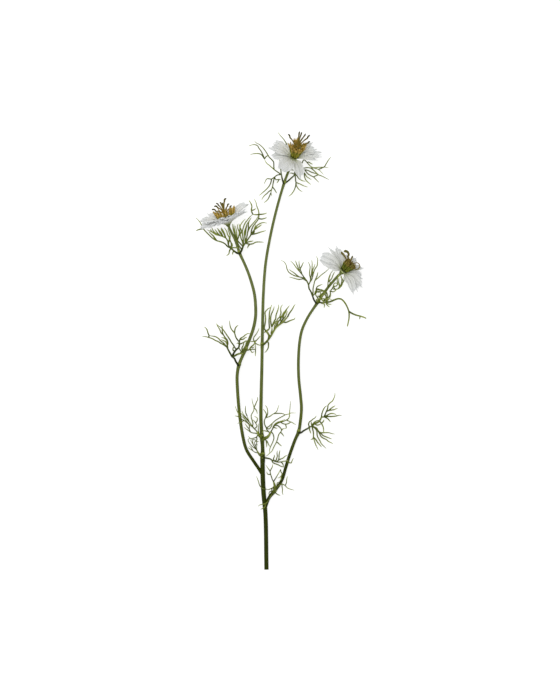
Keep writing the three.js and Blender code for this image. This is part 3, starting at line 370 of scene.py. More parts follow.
        [3, [-23.5, 219], [-24, 222], [-22.5, 225], [-22, 227.5]],
    ]),
    "leaf_left_upper": ("left", [-20.8, 219.8], [
        [1, [-20.8, 219.8], [-18.5, 219.8], [-16.6, 220.6], [-14.8, 223.2], [-12.7, 224.8], [-11, 227.3],
         [-9.8, 229.4]],
    ], [
        [2, [-9.8, 229.4], [-7.7, 231.5], [-5.5, 234.2]],
        [2, [-9.8, 229.4], [-12.7, 228.6], [-16.4, 228.6]],
        [4, [-11, 227.3], [-12.5, 230.5], [-11.8, 233.2], [-9.8, 235.7], [-7.7, 239.4], [-6.8, 242]],
        [-2, [-16.6, 220.6], [-13.5, 220.7], [-10.6, 221], [-10.5, 224], [-10.8, 227]],
        [-2, [-10.6, 221], [-10.5, 218.5], [-10.6, 216], [-10.7, 213.5]],
        [0, [-16.6, 220.6], [-14.8, 219], [-14, 217.4], [-11.8, 218.5]],
        [2, [-10.8, 227], [-8.5, 225.5], [-6.4, 224.8], [-4.8, 224.4]],
        [1, [-14.8, 223.2], [-13, 222], [-11.5, 223.5]],
    ]),
    "leaf_upper": ("main", [-3.9, 225], [
        [5, [-3.9, 225], [-2, 225.8], [0.8, 228.7], [2.5, 230.7], [5, 234.3], [7, 237.8], [9.6, 242],
         [13.3, 245.3], [17, 248], [19.5, 250.8], [21.7, 253.3]],
        [2, [2.5, 230.7], [3, 234.5], [1.7, 237], [0.4, 238.7], [2.5, 240.5], [3.5, 241.8]],
    ], [
        [2, [21.7, 253.3], [23.3, 256.6], [25.4, 259.5], [27, 262], [28.4, 264.7], [29.4, 265.6]],
        [3, [13.3, 245.3], [16.7, 250.3], [19.2, 253.3], [20.8, 257], [21.5, 259]],
        [5, [16.7, 250.3], [18, 256], [20, 260], [22, 262.5], [23.5, 264.5]],
        [2, [17, 248], [20, 247.6], [23.3, 249], [26.7, 250.3], [28.3, 250.8], [29.2, 252.5]],
        [5, [9.6, 242.4], [12.5, 248.7], [14.6, 251.2], [13.8, 252.8], [15, 257], [14.6, 260.7],
         [15.4, 263.7], [16.7, 265.5]],
        [4, [14.6, 251.2], [15.5, 253.3], [16.7, 255.3], [17.5, 257.4], [18.3, 258.7]],
        [6, [8, 240], [8.5, 243], [9.5, 246], [12.5, 248.7]],
        [4, [13.3, 245.3], [15, 248.5], [14.8, 251.5], [17, 254.5], [19.5, 257.5], [21, 260.5]],
        [3, [9.6, 242.4], [11.5, 245.5], [11, 249.5], [13, 252.5], [16, 254]],
        [3, [5.5, 235], [5.2, 237.4], [6, 240.3], [5.8, 243.2]],
        [3, [5.8, 243.2], [4.9, 247], [4.6, 251.2], [5.2, 255.3], [6.3, 257.8], [7.5, 260.7], [8.3, 263.7]],
        [6, [5.8, 243.2], [8, 248.3], [9.6, 251.2], [10, 254.5], [10.8, 257], [12.1, 260.8], [12.7, 263.7],
         [12.1, 265.5]],
        [4, [5.8, 243.2], [7.5, 246], [10, 248.5], [11.8, 250.6]],
        [3, [0.4, 238.7], [-1.7, 241.2], [-1, 246], [-0.4, 251], [-0.8, 258], [0.4, 259.5], [2.5, 261.6],
         [4.4, 262.4], [5.8, 264.5]],
        [3, [3.5, 241.8], [3, 248.7], [3.2, 252], [3.5, 257.4], [4.6, 262], [5.8, 265.3]],
        [0, [0.4, 238.7], [-1, 238], [-2.5, 237.4]],
        [-2, [0.8, 228.7], [2.3, 227.4], [2.5, 225], [2.1, 222], [1, 220], [-0.2, 218.3], [-1.3, 217.4]],
    ]),
    "bracts_top": ("main", [18, 385.5], [
        [2, [18, 385.5], [16.5, 390], [15.3, 395.5]],
        [-2, [18, 385.5], [23, 390], [29, 395.5]],
    ], [
        [3, [15.3, 395.5], [11.5, 398], [8, 400.5], [4, 404], [0, 407.5], [-1.5, 411]],
        [3, [-1.5, 411], [-4.5, 418], [-7, 421.5], [-8.5, 424], [-11, 425], [-14, 424.8], [-17.5, 423.5]],
        [5, [8, 400.5], [7.8, 404], [7.5, 408], [3, 413], [0, 418], [-3.5, 422.5], [-7, 425.5], [-10, 427],
         [-11.5, 429]],
        [2, [-1.5, 411], [0, 413], [1.5, 414], [3, 414.5]],
        [-4, [-1.5, 411], [-5, 415.5], [-10, 416.5], [-16, 415.5]],
        [5, [15.3, 395.5], [14.6, 402], [14.5, 406], [13.2, 411.5]],
        [2, [14.6, 402], [17, 412], [20.5, 425], [18, 430], [15, 433.5], [13, 436], [11.8, 437.5]],
        [-1, [15.3, 395.5], [11.5, 395], [8.5, 393], [5.5, 391], [1, 391.3], [-1, 388], [-2, 386]],
        [1, [8.5, 393], [10, 390.3], [13, 390.6], [15, 390.5]],
        [2, [13, 390.6], [12, 388.5], [10.7, 386.8]],
        [-3, [5.5, 391], [5, 388], [3.5, 384.5], [1.5, 382], [-1, 379.5], [-4, 377], [-7, 374.5]],
        [3, [8.5, 393], [7, 386], [6.5, 383], [5.5, 380], [5, 377], [6, 373.5]],
        [1, [6.5, 383], [8.5, 380.5], [10, 378], [11, 376.5]],
        [-2, [5.5, 380], [3, 378.5], [1, 376.5], [-1.5, 374.5], [-3, 372.5], [-4.5, 370]],
        [2, [5, 377], [4, 375], [2.5, 371.5], [1.5, 370], [-2, 367]],
        [-2, [29, 395.5], [31, 394.5], [32.5, 392], [34.5, 390.5], [37, 389.3], [39.5, 389]],
        [0, [29, 395.5], [29.5, 391.5], [30, 388], [33.8, 386.3], [38.1, 384.2], [41.9, 383.1]],
        [2, [29.5, 391.5], [30.1, 387], [30.3, 385], [31.9, 381.9], [34.4, 379.4], [36.5, 378.4]],
        [-3, [30, 388], [29.7, 384.5], [28.1, 380], [25.6, 376.3], [22.5, 373.8]],
        [4, [29, 395.5], [33, 399], [37, 401.5], [41.3, 402.5], [45, 402], [49.5, 402.5], [54, 402.8],
         [58, 402.8], [62.5, 402.5]],
        [3, [33, 399], [36, 407], [38.1, 410.3], [41.6, 406.9], [45, 403.4], [48.4, 401.9], [52.5, 400.6],
         [55, 398.1], [57.5, 395.6]],
        [2, [52.5, 400.6], [55.6, 401.9], [58.4, 403.4], [60.6, 406.9], [62.5, 410], [65, 413.1]],
        [1, [41.6, 406.9], [42.2, 408.2], [44.4, 406.9], [46.9, 405.6]],
        [2, [33, 399], [38.8, 400.3], [41.9, 399.7], [45, 398.1], [47.5, 397.2], [50.6, 396.3], [53.1, 395],
         [56.3, 393.8], [60, 391.9], [63.1, 390.3]],
        [1, [45, 402], [47.5, 400], [50, 397.5], [53.1, 395]],
        [-2, [33, 399], [38.4, 397.2], [40.6, 393.8], [43.1, 391.9], [45.6, 390.3]],
        [1, [38.8, 400.3], [40.5, 398], [41.9, 396.3], [45, 394.4], [47.5, 393.1], [50.6, 390],
         [53.1, 387.5]],
        [0, [47.5, 393.1], [50, 394.4], [53.1, 395.2]],
        [-1, [38.4, 397.2], [38.7, 393], [40, 390], [42.5, 387.5], [45, 385.6]],
        [3, [29, 395.5], [28.6, 398], [28.1, 399.7], [25.5, 400.2], [23.3, 399.8]],
        [1, [29, 395.5], [26, 397], [23.5, 396.9]],
    ]),
    "bracts_left": ("left", [-26, 316], [
        [3, [-26, 316], [-28.5, 316.5], [-31.5, 318.5], [-35, 321.5]],
        [3, [-26, 316], [-24, 320], [-22.5, 324], [-20.5, 326.5]],
    ], [
        [2, [-35, 321.5], [-38, 323], [-41, 326], [-44, 327.5], [-49, 329], [-52, 330.5], [-55, 333],
         [-58, 336], [-60.5, 338.5], [-62.5, 341], [-64, 344], [-65.5, 347], [-68, 350], [-70, 352]],
        [-3, [-62.5, 341], [-66, 340.3], [-70, 339]],
        [6, [-35, 321.5], [-37.5, 325], [-38, 328.5], [-40, 331.5], [-43, 333], [-46, 334], [-50, 335],
         [-53, 337], [-56, 338.5], [-59, 339.8]],
        [-2, [-40, 331.5], [-42, 336], [-44, 339], [-45, 341.5]],
        [0, [-43, 333], [-46, 337], [-48, 340.5]],
        [3, [-46, 334], [-49, 337.5], [-51, 340.5]],
        [-2, [-50, 335], [-54, 338], [-55.5, 340.5]],
        [4, [-49, 329], [-52, 333], [-55, 336], [-57, 338]],
        [-3, [-37.5, 325], [-36.5, 330.5], [-36.5, 332], [-38.5, 335.5], [-39, 338], [-41.5, 342]],
        [1, [-35, 321.5], [-34.5, 326], [-36, 330], [-35.7, 334], [-37.2, 338], [-38, 341]],
        [2, [-43, 333], [-44.5, 336.5], [-47, 339.5], [-48.8, 341.5]],
        [0, [-40, 331.5], [-41, 335], [-42.5, 338.5], [-44.5, 342]],
        [2, [-49, 329], [-51.5, 331.5], [-52.5, 334], [-55, 335.5]],
        [3, [-46, 334], [-50.5, 336.5], [-53, 339.5], [-54, 342]],
        [2, [-27.5, 325], [-29.5, 331], [-30.5, 336], [-31.5, 341], [-32, 345.5]],
        [0, [-25, 332], [-26.5, 337], [-28, 341], [-28.5, 345.5]],
        [2, [-23, 333], [-24.3, 338], [-26, 342.5], [-27, 346]],
        [4, [-20.5, 326.5], [-21, 332], [-21.5, 337], [-20, 342], [-18.5, 346], [-16, 349.5]],
        [-2, [-19, 333], [-20.2, 337.5], [-19.7, 341.5], [-18.5, 344.5]],
        [4, [-35, 321.5], [-33.5, 324], [-33.7, 326.5]],
        [3, [-35, 321.5], [-32, 322], [-27, 321.5]],
        [-3, [-35, 321.5], [-36.5, 318.5], [-37, 316], [-39.5, 314]],
        [-2, [-31.5, 318.5], [-33, 317.5], [-33.3, 315]],
        [4, [-22.5, 324], [-23.5, 328], [-25, 332], [-26, 338], [-25.5, 344], [-23, 348], [-20.5, 350.5]],
        [6, [-22.5, 324], [-22.5, 329], [-23, 333], [-23.5, 338], [-22.5, 342], [-21, 346], [-18, 350],
         [-15, 353.5], [-13, 355]],
        [2, [-24, 320], [-27.5, 325], [-29, 330], [-29, 335], [-29.5, 339], [-30.5, 344]],
        [0, [-29, 330], [-31, 335], [-32.5, 340], [-33.5, 346]],
        [3, [-20.5, 326.5], [-17.5, 331], [-15, 335], [-14.5, 339], [-13, 343], [-10, 347], [-7.5, 351],
         [-7, 355], [-7.5, 359], [-9, 363], [-10, 367], [-12, 371]],
        [5, [-20.5, 326.5], [-19, 333], [-18, 338], [-15.5, 343], [-12, 347], [-9, 351], [-7.5, 354]],
        [-2, [-18, 338], [-17.5, 341], [-17.5, 345], [-17, 348], [-14.5, 352]],
        [-1, [-15, 335], [-11.5, 340], [-9, 344], [-6, 346], [-3, 347], [1, 346.5]],
        [1, [-15, 335], [-12, 337], [-11.5, 341], [-10, 345]],
        [1, [-15, 335], [-10, 336], [-6, 337.3], [0, 339]],
        [-3, [-20.5, 326.5], [-17, 328], [-14, 328.5], [-12.5, 329]],
        [0, [-20.5, 326.5], [-16, 325.5], [-13, 326], [-10, 327.5], [-2, 327.5]],
        [-2, [-16, 325.5], [-17.5, 324], [-18.5, 321.5]],
        [2, [-7, 355], [-2, 355.5], [1, 356.5]],
        [-2, [-7.5, 351], [-4, 350.5], [1, 352]],
        [3, [-13, 355], [-14.5, 359], [-14, 363], [-15, 366], [-17, 369]],
        [-2, [-14.5, 359], [-12, 359.5], [-10, 361]],
        [1, [-7, 355], [-9, 354.8], [-13, 355]],
        [1, [-11.5, 340], [-7, 343], [-4, 345]],
    ]),
    "bracts_right": ("right", [50.5, 266], [
        [2, [50.5, 266], [48, 270], [46.5, 274], [45, 278], [43, 281.5], [42.5, 285], [41, 288.5],
         [38.5, 292]],
        [3, [50.5, 266], [54, 267.5], [57, 267], [59.5, 268]],
        [2, [59.5, 268], [63, 268], [66, 269], [69, 270.3], [72, 271.2], [75, 270.8], [77.5, 268.8],
         [79.8, 265.5], [81.5, 262], [82.7, 258.5], [83, 255.5], [82.9, 252], [82.3, 248.5], [81.2, 243.5]],
        [3, [82.7, 258.5], [86, 256.5], [90, 254.8], [94, 253.8], [98, 252.5], [100, 251.5]],
    ], [
        [2, [38.5, 292], [36, 295.5], [33, 299], [30, 302.5], [27.5, 306], [24.5, 309]],
        [4, [36, 295.5], [33.5, 303], [33, 307], [33, 309.5]],
        [-3, [33, 299], [32, 302.5], [30.5, 306], [29.5, 309.5]],
        [2, [33, 299], [36, 304.5], [37.5, 308]],
        [4, [41, 288.5], [37, 292], [33, 293], [29, 294], [25, 296], [22.5, 298], [21, 301], [20, 305],
         [18, 308], [15, 309.5]],
        [2, [33, 293], [31, 294.5], [28, 297], [25, 299], [23, 300.5]],
        [-2, [41, 288.5], [37, 291], [33, 290.5], [27, 292], [23, 293]],
        [6, [42.5, 285], [44, 288], [44.5, 291], [43.5, 295], [43.5, 298], [44, 303], [43, 306], [42, 308]],
        [4, [44, 288], [45.5, 290], [46.5, 293], [47.5, 297], [49, 301], [51, 304], [51.5, 308],
         [51.5, 311], [50, 313.5]],
        [2, [46.5, 293], [46.5, 297], [46.7, 300], [48, 303], [49, 306]],
        [8, [44.5, 291], [45.5, 297], [46, 303], [46, 307], [45.5, 310]],
        [5, [46.5, 274], [47, 278], [47, 281], [48, 286], [49, 289.5], [51.5, 291.5], [56, 295.5],
         [60, 298.5], [63, 301.5]],
        [2, [49, 289.5], [51, 294], [52, 298]],
        [3, [50.5, 266], [52.5, 270], [51, 273], [49.5, 275.5], [51, 278], [53.5, 278.5], [54.5, 276],
         [53, 274], [51.5, 275]],
        [5, [54, 267.5], [53.5, 270], [54.5, 273], [57, 274.5], [58.5, 277], [57, 279.5], [54.5, 280.5],
         [53, 279]],
        [4, [57, 267], [58, 270], [60, 272], [59, 275], [56.5, 275], [55.5, 272.5], [57.5, 271]],
        [6, [54, 267.5], [50, 269.5], [52.5, 271.5], [55, 270.5], [56.5, 268.5]],
        [4, [51, 278], [50, 280.5], [52, 281], [56, 279.5], [60, 279.7]],
        [2, [50, 280.5], [51, 283], [53.5, 284.5], [56.5, 285.5]],
        [3, [54, 267.5], [56, 266.5], [59, 267.5], [62, 270], [64, 273], [64.5, 277], [63, 279.5]],
        [2, [57, 267], [59.5, 270.5], [61.5, 274], [60.5, 277.5], [58, 279.5]],
        [4, [52.5, 270], [56, 271.3], [60, 270.8], [63.5, 271], [66, 270]],
        [5, [51, 273], [53.5, 273.5], [56, 276.5], [59, 277.5], [62, 280.5]],
        [3, [49.5, 275.5], [50.2, 278], [52.5, 277.6], [55, 278.6], [58.5, 278.3]],
        [6, [50.5, 266], [51.8, 268.3], [54, 270.6], [56.5, 269.8], [58, 267.6], [56.8, 265.6]],
        [2, [46.5, 274], [48.5, 276], [49.5, 279], [52, 280], [55, 279.2]],
        [-1, [94, 253.8], [93.7, 252.5], [93.5, 250.5]],
        [6, [59.5, 268], [61.5, 271.5], [64, 275], [64.5, 279], [66, 281], [69, 280.5], [72, 281],
         [75, 283.5], [76.5, 287], [76.5, 290.5], [74, 293]],
        [-2, [72, 281], [73.5, 284], [72.5, 288], [73, 292]],
        [3, [60, 272], [60, 278], [61.5, 283], [62, 288], [63, 293], [65, 297], [67, 299.5]],
        [2, [61.5, 283], [64, 287], [62.8, 290.5], [64.5, 295]],
        [2, [62, 288], [65, 290.5], [67, 295], [68.5, 298]],
        [3, [66, 281], [67.5, 283.5], [70, 283.7], [71.5, 286], [71, 289.5], [72, 293], [73.5, 296.5]],
        [2, [72, 281], [74.5, 284.5], [75.6, 288.5], [75.3, 292.5], [74.3, 296]],
        [2, [69, 280.5], [67.3, 284], [68.5, 286.7], [71.5, 286.2], [73, 283.8]],
        [1, [75, 283.5], [76.5, 287], [78, 290], [77.5, 293]],
        [2, [64.5, 279], [66.8, 278], [69.5, 279.5], [70.8, 281.5]],
        [-2, [59.5, 268], [61, 265], [63.5, 262.8]],
        [-2, [57, 267], [58.5, 265], [58, 262]],
        [0, [59.5, 268], [62, 266], [65.5, 265.5]],
    ]),
}

# ---- Places ----


def cut_end_centre():
    """The middle of the cut face at the foot of the stem, in the frame."""
    corners = {tuple(round(c, 6) for c in vertex.co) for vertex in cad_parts["stem"].data.vertices}
    foot = min(y for _, y, _ in corners)
    ring = [Vector(corner) for corner in corners if corner[1] < foot + CUT_FACE_REACH * MM]
    return sum(ring, Vector()) / len(ring)


PLANT_PLACE = cut_end_centre() - Vector(MAIN_STEM[0]) * MM


def in_frame(point):
    """A point of a route, in millimetres, as a place in the frame, in metres."""
    return PLANT_PLACE + Vector(point) * MM


def smooth(points, spacing):
    """Points about `spacing` apart along the smooth curve through the given points."""
    ends = [2 * points[0] - points[1], *points, 2 * points[-1] - points[-2]]
    path = [points[0]]
    for a, b, c, d in zip(ends, ends[1:], ends[2:], ends[3:]):
        ab, bc, cd = (math.sqrt((q - p).length) for p, q in ((a, b), (b, c), (c, d)))
        leaving = ((b - a) / ab - (c - a) / (ab + bc) + (c - b) / bc) * bc
        arriving = ((c - b) / bc - (d - b) / (bc + cd) + (d - c) / cd) * bc
        steps = max(1, round((c - b).length / spacing))
        path += interpolate_bezier(b, b + leaving / 3, c - arriving / 3, c, steps + 1)[1:]
    return path


def shares(path):
    """How far along the path each of its points is, from 0 to 1."""
    lengths = [0]
    for a, b in zip(path, path[1:]):
        lengths.append(lengths[-1] + (b - a).length)
    return [length / lengths[-1] for length in lengths]


def between(pairs, share):
    """The value at `share` on the straight stretches through (share, value) pairs."""
    for (low, start), (high, end) in zip(pairs, pairs[1:]):
        if share <= high:
            return start + (end - start) * (share - low) / (high - low)
    return pairs[-1][1]


def nearest(points, place):
    """The one of the points that lies nearest to [x, y], seen from above."""
    return min(points, key=lambda point: math.hypot(point.x - place[0], point.y - place[1]))


# Each stem has the bloom it carries, its route, and its radii at shares of its length.
STEMS = {
    "main": ("top", MAIN_STEM, [
        (0, CUT_END_RADIUS), (0.13, CUT_END_RADIUS), (0.18, FORK_RADIUS), (0.24, FORK_RADIUS),
        (0.29, MAIN_RADIUS), (0.5, UPPER_RADIUS), (0.94, NECK_RADIUS), (1, NECK_RADIUS),
    ]),
    "left": ("left", LEFT_BRANCH, [(0, BRANCH_RADIUS), (0.6, BRANCH_RADIUS), (1, NECK_RADIUS)]),
    "right": ("right", RIGHT_BRANCH, [
        (0, RIGHT_START_RADIUS), (0.25, BRANCH_RADIUS), (1, NECK_RADIUS),
    ]),
}


def bloom_axis(bloom):
    return Vector(BLOOMS[bloom]["axis"]).normalized()


def stem_path(name, spacing):
    """Points along a stem, from its start to the top of its receptacle, each with its radius."""
    bloom, route, widths = STEMS[name]
    top = Vector(BLOOMS[bloom]["centre"])
    under_bloom = top - RECEPTACLE_LENGTH * bloom_axis(bloom)
    path = smooth([*map(Vector, route), under_bloom, top], spacing)
    return [(point, between(widths, share)) for point, share in zip(path, shares(path))]


STEM_PATHS = {name: stem_path(name, STEM_SPACING) for name in STEMS}


def bent_clear_of_stems(point, side):
    """The point, raised over the stem that it would run through, or put under it if `side` is -1."""
    moved = point.copy()
    for path in STEM_PATHS.values():
        for axis, radius in path:
            clear = radius + STEM_CLEARANCE
            flat = math.hypot(moved.x - axis.x, moved.y - axis.y)
            if flat >= clear or abs(moved.z - axis.z) >= clear:
                continue
            needed = axis.z + side * math.sqrt(clear * clear - flat * flat)
            moved.z = max(moved.z, needed) if side > 0 else min(moved.z, needed)
    return moved


def bloom_place(bloom):
    """The place of a bloom in the frame: its own +Z points out of it and +Y is its upper side."""
    out = bloom_axis(bloom)
    upper = Vector((0, 0, 1))
    upper = (upper - out * upper.dot(out)).normalized()
    turn = Matrix((upper.cross(out), upper, out)).transposed().to_4x4()
    return Matrix.Translation(in_frame(BLOOMS[bloom]["centre"])) @ turn @ Matrix.Scale(MM, 4)


# ---- Modelling ----


def take(piece):
    """Makes the piece the only one selected, and the active one."""
    bpy.ops.object.select_all(action="DESELECT")
    piece.select_set(True)
    bpy.context.view_layer.objects.active = piece
    return piece


def pick(test):
    """In edit mode, selects the corners whose place passes the test, and nothing else."""
    mesh = bmesh.from_edit_mesh(bpy.context.edit_object.data)
    mesh.select_mode = {"VERT"}
    for vertex in mesh.verts:
        vertex.select = bool(test(vertex.co))
    mesh.select_flush_mode()
    bmesh.update_edit_mesh(bpy.context.edit_object.data)


def pick_faces(test):
    """In edit mode, selects the faces whose middle and normal pass the test, and nothing else."""
    mesh = bmesh.from_edit_mesh(bpy.context.edit_object.data)
    for face in mesh.faces:
        face.select_set(False)
    for face in mesh.faces:
        if test(face.calc_center_median(), face.normal):
            face.select_set(True)
    bmesh.update_edit_mesh(bpy.context.edit_object.data)


def tidy_mesh(piece):
    """Merges doubled corners, turns the faces outwards and shades the piece smooth."""
    take(piece)
    bpy.ops.object.mode_set(mode="EDIT")
    bpy.ops.mesh.select_all(action="SELECT")
    bpy.ops.mesh.remove_doubles(threshold=0.005 * MM)
    bpy.ops.mesh.normals_make_consistent(inside=False)
    bpy.ops.object.mode_set(mode="OBJECT")
    bpy.ops.object.shade_smooth()


def apply_modifiers(piece):
    take(piece)
    for modifier in list(piece.modifiers):
        bpy.ops.object.modifier_apply(modifier=modifier.name)


def copied(form, place):
    """A copy of a form with its own mesh, put at a place in the frame."""
    piece = form.copy()
    piece.data = form.data.copy()
    bpy.context.scene.collection.objects.link(piece)
    piece.data.transform(place)
    return piece


def joined(pieces, name):
    bpy.ops.object.select_all(action="DESELECT")
    for piece in pieces:
        piece.select_set(True)
    bpy.context.view_layer.objects.active = pieces[0]
    bpy.ops.object.join()
    whole = bpy.context.object
    whole.name = name
    whole.data.name = name
    return whole


def dress(piece, slot, *nodes):
    """Fixes a finished piece to the plant in place of the plain solids that it stands for."""
    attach(piece, "root")
    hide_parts(*nodes)


# ---- Materials ----


def srgb(code):
    """An sRGB colour such as 0x6B7A3A as linear red, green, blue and alpha."""
    channels = [(code >> shift & 255) / 255 for shift in (16, 8, 0)]
    return (*[c / 12.92 if c <= 0.04045 else ((c + 0.055) / 1.055) ** 2.4 for c in channels], 1)


def add(tree, kind, values=None, links=None, stops=(), **settings):
    """Adds a node with its settings, the values and links of its inputs, and the stops of its ramp."""
    node = tree.nodes.new(kind)
    for name, value in settings.items():
        setattr(node, name, value)
    for name, value in (values or {}).items():
        node.inputs[name].default_value = value
    for name, socket in (links or {}).items():
        tree.links.new(socket, node.inputs[name])
    for number, (position, code) in enumerate(stops):
        ramp = node.color_ramp.elements
        stop = ramp[number] if number < 2 else ramp.new(position)
        stop.position = position
        stop.color = srgb(code)
    return node


def new_material(name, roughness, **values):
    """A material with a Principled shader, and that shader."""
    material = bpy.data.materials.new(name)
    material.use_nodes = True
    shader = material.node_tree.nodes["Principled BSDF"]
    shader.inputs["Roughness"].default_value = roughness
    # Plant tissue is mostly water, so its IOR lies a little over that of water.
    shader.inputs["IOR"].default_value = 1.4
    shader.inputs["Specular IOR Level"].default_value = 0.2
    shader.inputs["Subsurface Radius"].default_value = (1, 1, 1)
    for key, value in values.items():
        shader.inputs[key.replace("_", " ")].default_value = value
    return material, shader


def stem_skin():
    """Fresh green stem: ribbed skin with a thin wax, dark olive at the foot and paler up the plant."""
    material, shader = new_material("fresh_stem_skin", 0.5, Subsurface_Weight=0.08, Subsurface_Scale=0.001,
                                    Specular_IOR_Level=0.08)
    tree = material.node_tree
    place = add(tree, "ShaderNodeTexCoord")
    height = add(tree, "ShaderNodeSeparateXYZ", links={0: place.outputs["Object"]})
    # From the cut end to the top bloom.
    share = add(tree, "ShaderNodeMapRange", {"From Min": -0.22, "From Max": 0.2},
                {"Value": height.outputs["Y"]})
    age = add(tree, "ShaderNodeValToRGB", links={0: share.outputs[0]}, stops=[
        (0, 0x343E06), (1, 0x727C42), (0.26, 0x384206), (0.37, 0x667030), (0.7, 0x78824A)])
    # Streaks about 8 mm long and half a millimetre wide follow the ribs.
    along = add(tree, "ShaderNodeMapping", {"Scale": (45, 14, 1)}, {"Vector": place.outputs["UV"]})
    streaks = add(tree, "ShaderNodeTexNoise", {"Scale": 1.0, "Detail": 3.0}, {"Vector": along.outputs[0]})
    shade = add(tree, "ShaderNodeValToRGB", links={0: streaks.outputs["Fac"]}, stops=[
        (0.3, 0xB9BFA6), (0.7, 0xFFFFFF)])
    colour = add(tree, "ShaderNodeMix", {"Factor": 0.8}, {6: age.outputs[0], 7: shade.outputs[0]},
                 data_type="RGBA", blend_type="MULTIPLY")
    bump = add(tree, "ShaderNodeBump", {"Strength": 0.3, "Distance": 0.1 * MM},
               {"Height": streaks.outputs["Fac"]})
    tree.links.new(colour.outputs[2], shader.inputs["Base Color"])
    tree.links.new(bump.outputs[0], shader.inputs["Normal"])
    return material


def thread_skin(name, base, middle, tip):
    """A fresh thread of leaf or style: smooth, matt and mottled, of other colours at its foot and tip."""
    material, shader = new_material(name, 0.55, Subsurface_Weight=0.1, Subsurface_Scale=0.001)
    tree = material.node_tree
    place = add(tree, "ShaderNodeTexCoord")
    along = add(tree, "ShaderNodeSeparateXYZ", links={0: place.outputs["UV"]})
    growth = add(tree, "ShaderNodeValToRGB", links={0: along.outputs["X"]}, stops=[
        (0, base), (1, tip), (0.4, middle)])
    # Patches about 12 mm long, as one segment catches more light and sap than the next.
    patches = add(tree, "ShaderNodeTexNoise", {"Scale": 85.0, "Detail": 2.0},
                  {"Vector": place.outputs["Object"]})
    shade = add(tree, "ShaderNodeValToRGB", links={0: patches.outputs["Fac"]}, stops=[
        (0.35, 0xAEB488), (0.65, 0xFFFFFF)])
    colour = add(tree, "ShaderNodeMix", {"Factor": 0.85}, {6: growth.outputs[0], 7: shade.outputs[0]},
                 data_type="RGBA", blend_type="MULTIPLY")
    tree.links.new(colour.outputs[2], shader.inputs["Base Color"])
    return material


def petal_tissue():
    """Petal: thin matt white tissue that light shows through, with soft veins and a greenish claw."""
    material, shader = new_material("white_petal_tissue", 0.65, Subsurface_Weight=0.2,
                                    Subsurface_Scale=0.001)
    tree = material.node_tree
    place = add(tree, "ShaderNodeTexCoord")
    petal = add(tree, "ShaderNodeSeparateXYZ", links={0: place.outputs["UV"]})
    # Eleven veins run from the claw to the tip, a little over a millimetre apart.
    across = add(tree, "ShaderNodeMapping", {"Scale": (1, 0.06, 1)}, {"Vector": place.outputs["UV"]})
    veins = add(tree, "ShaderNodeTexWave", {
        "Scale": 1.75, "Distortion": 1.6, "Detail": 2.0, "Detail Scale": 2.5,
    }, {"Vector": across.outputs[0]}, bands_direction="X")
    vein_tint = add(tree, "ShaderNodeValToRGB", links={0: veins.outputs["Fac"]}, stops=[
        (0, 0xECEEEC), (0.45, 0xFFFFFF)])
    ground = add(tree, "ShaderNodeValToRGB", links={0: petal.outputs["Y"]}, stops=[
        (0, 0x949F5A), (1, 0xE4E6E6), (0.1, 0xBEC3A0), (0.26, 0xDEDFD8), (0.6, 0xE6E7E4)])
    colour = add(tree, "ShaderNodeMix", {"Factor": 0.75}, {6: ground.outputs[0], 7: vein_tint.outputs[0]},
                 data_type="RGBA", blend_type="MULTIPLY")
    bump = add(tree, "ShaderNodeBump", {"Strength": 0.5, "Distance": 0.2 * MM},
               {"Height": veins.outputs["Fac"]})
    tree.links.new(colour.outputs[2], shader.inputs["Base Color"])
    tree.links.new(bump.outputs[0], shader.inputs["Normal"])
    return material


def speckled(name, roughness, dark, light, grain_mm, depth_mm):
    """Small flower parts: a living surface of two close colours in slightly raised grains."""
    material, shader = new_material(name, roughness, Subsurface_Weight=0.1, Subsurface_Scale=0.0008)
    tree = material.node_tree
    place = add(tree, "ShaderNodeTexCoord")
    grain = add(tree, "ShaderNodeTexNoise", {"Scale": 1 / (grain_mm * MM), "Detail": 3.0},
                {"Vector": place.outputs["Object"]})
    colour = add(tree, "ShaderNodeValToRGB", links={0: grain.outputs["Fac"]}, stops=[
        (0.35, dark), (0.65, light)])
    bump = add(tree, "ShaderNodeBump", {"Strength": 0.5, "Distance": depth_mm * MM},
               {"Height": grain.outputs["Fac"]})
    tree.links.new(colour.outputs[0], shader.inputs["Base Color"])
    tree.links.new(bump.outputs[0], shader.inputs["Normal"])
    return material


STEM_SKIN = stem_skin()
# Spongy pith, dull and pale in the fresh cut.
CUT_PITH = speckled("pale_cut_pith", 0.8, 0xA9AE7C, 0xD6D8B4, 0.4, 0.1)
# Leaf threads are matt and yellow-green, paler at the tips; older stalks are darker and take less light.
THREAD_GREEN = thread_skin("green_thread_leaf", 0x586422, 0x828E38, 0xB2BC68)
THREAD_DARK = thread_skin("dark_leaf_stalk", 0x2A3012, 0x444E1A, 0x6E7A2E)
PETAL_TISSUE = petal_tissue()
# The disc is pale green and matt, as little light reaches it under the stamens.
DISC_SKIN = speckled("pale_green_disc", 0.6, 0x9AA65E, 0xC9CF9C, 1.2, 0.1)
# Filaments are smooth and olive, and open anthers dusty with golden pollen.
FILAMENT_SKIN = speckled("olive_filament", 0.55, 0x6C7012, 0xBEB644, 2.0, 0.05)
ANTHER_SKIN = speckled("golden_brown_anther", 0.75, 0x785E1A, 0xDCBC62, 1.6, 0.15)
# Young stamens are still closed, so they are darker and smoother.
YOUNG_FILAMENT_SKIN = speckled("deep_olive_young_filament", 0.5, 0x363E0C, 0x7E862A, 1.5, 0.1)
YOUNG_ANTHER_SKIN = speckled("brown_young_anther", 0.6, 0x54481A, 0x9C8C3C, 1.5, 0.1)
STAMEN_SKINS = {
    "open": (FILAMENT_SKIN, ANTHER_SKIN),
    "bowed": (FILAMENT_SKIN, ANTHER_SKIN),
    "young": (YOUNG_FILAMENT_SKIN, YOUNG_ANTHER_SKIN),
}
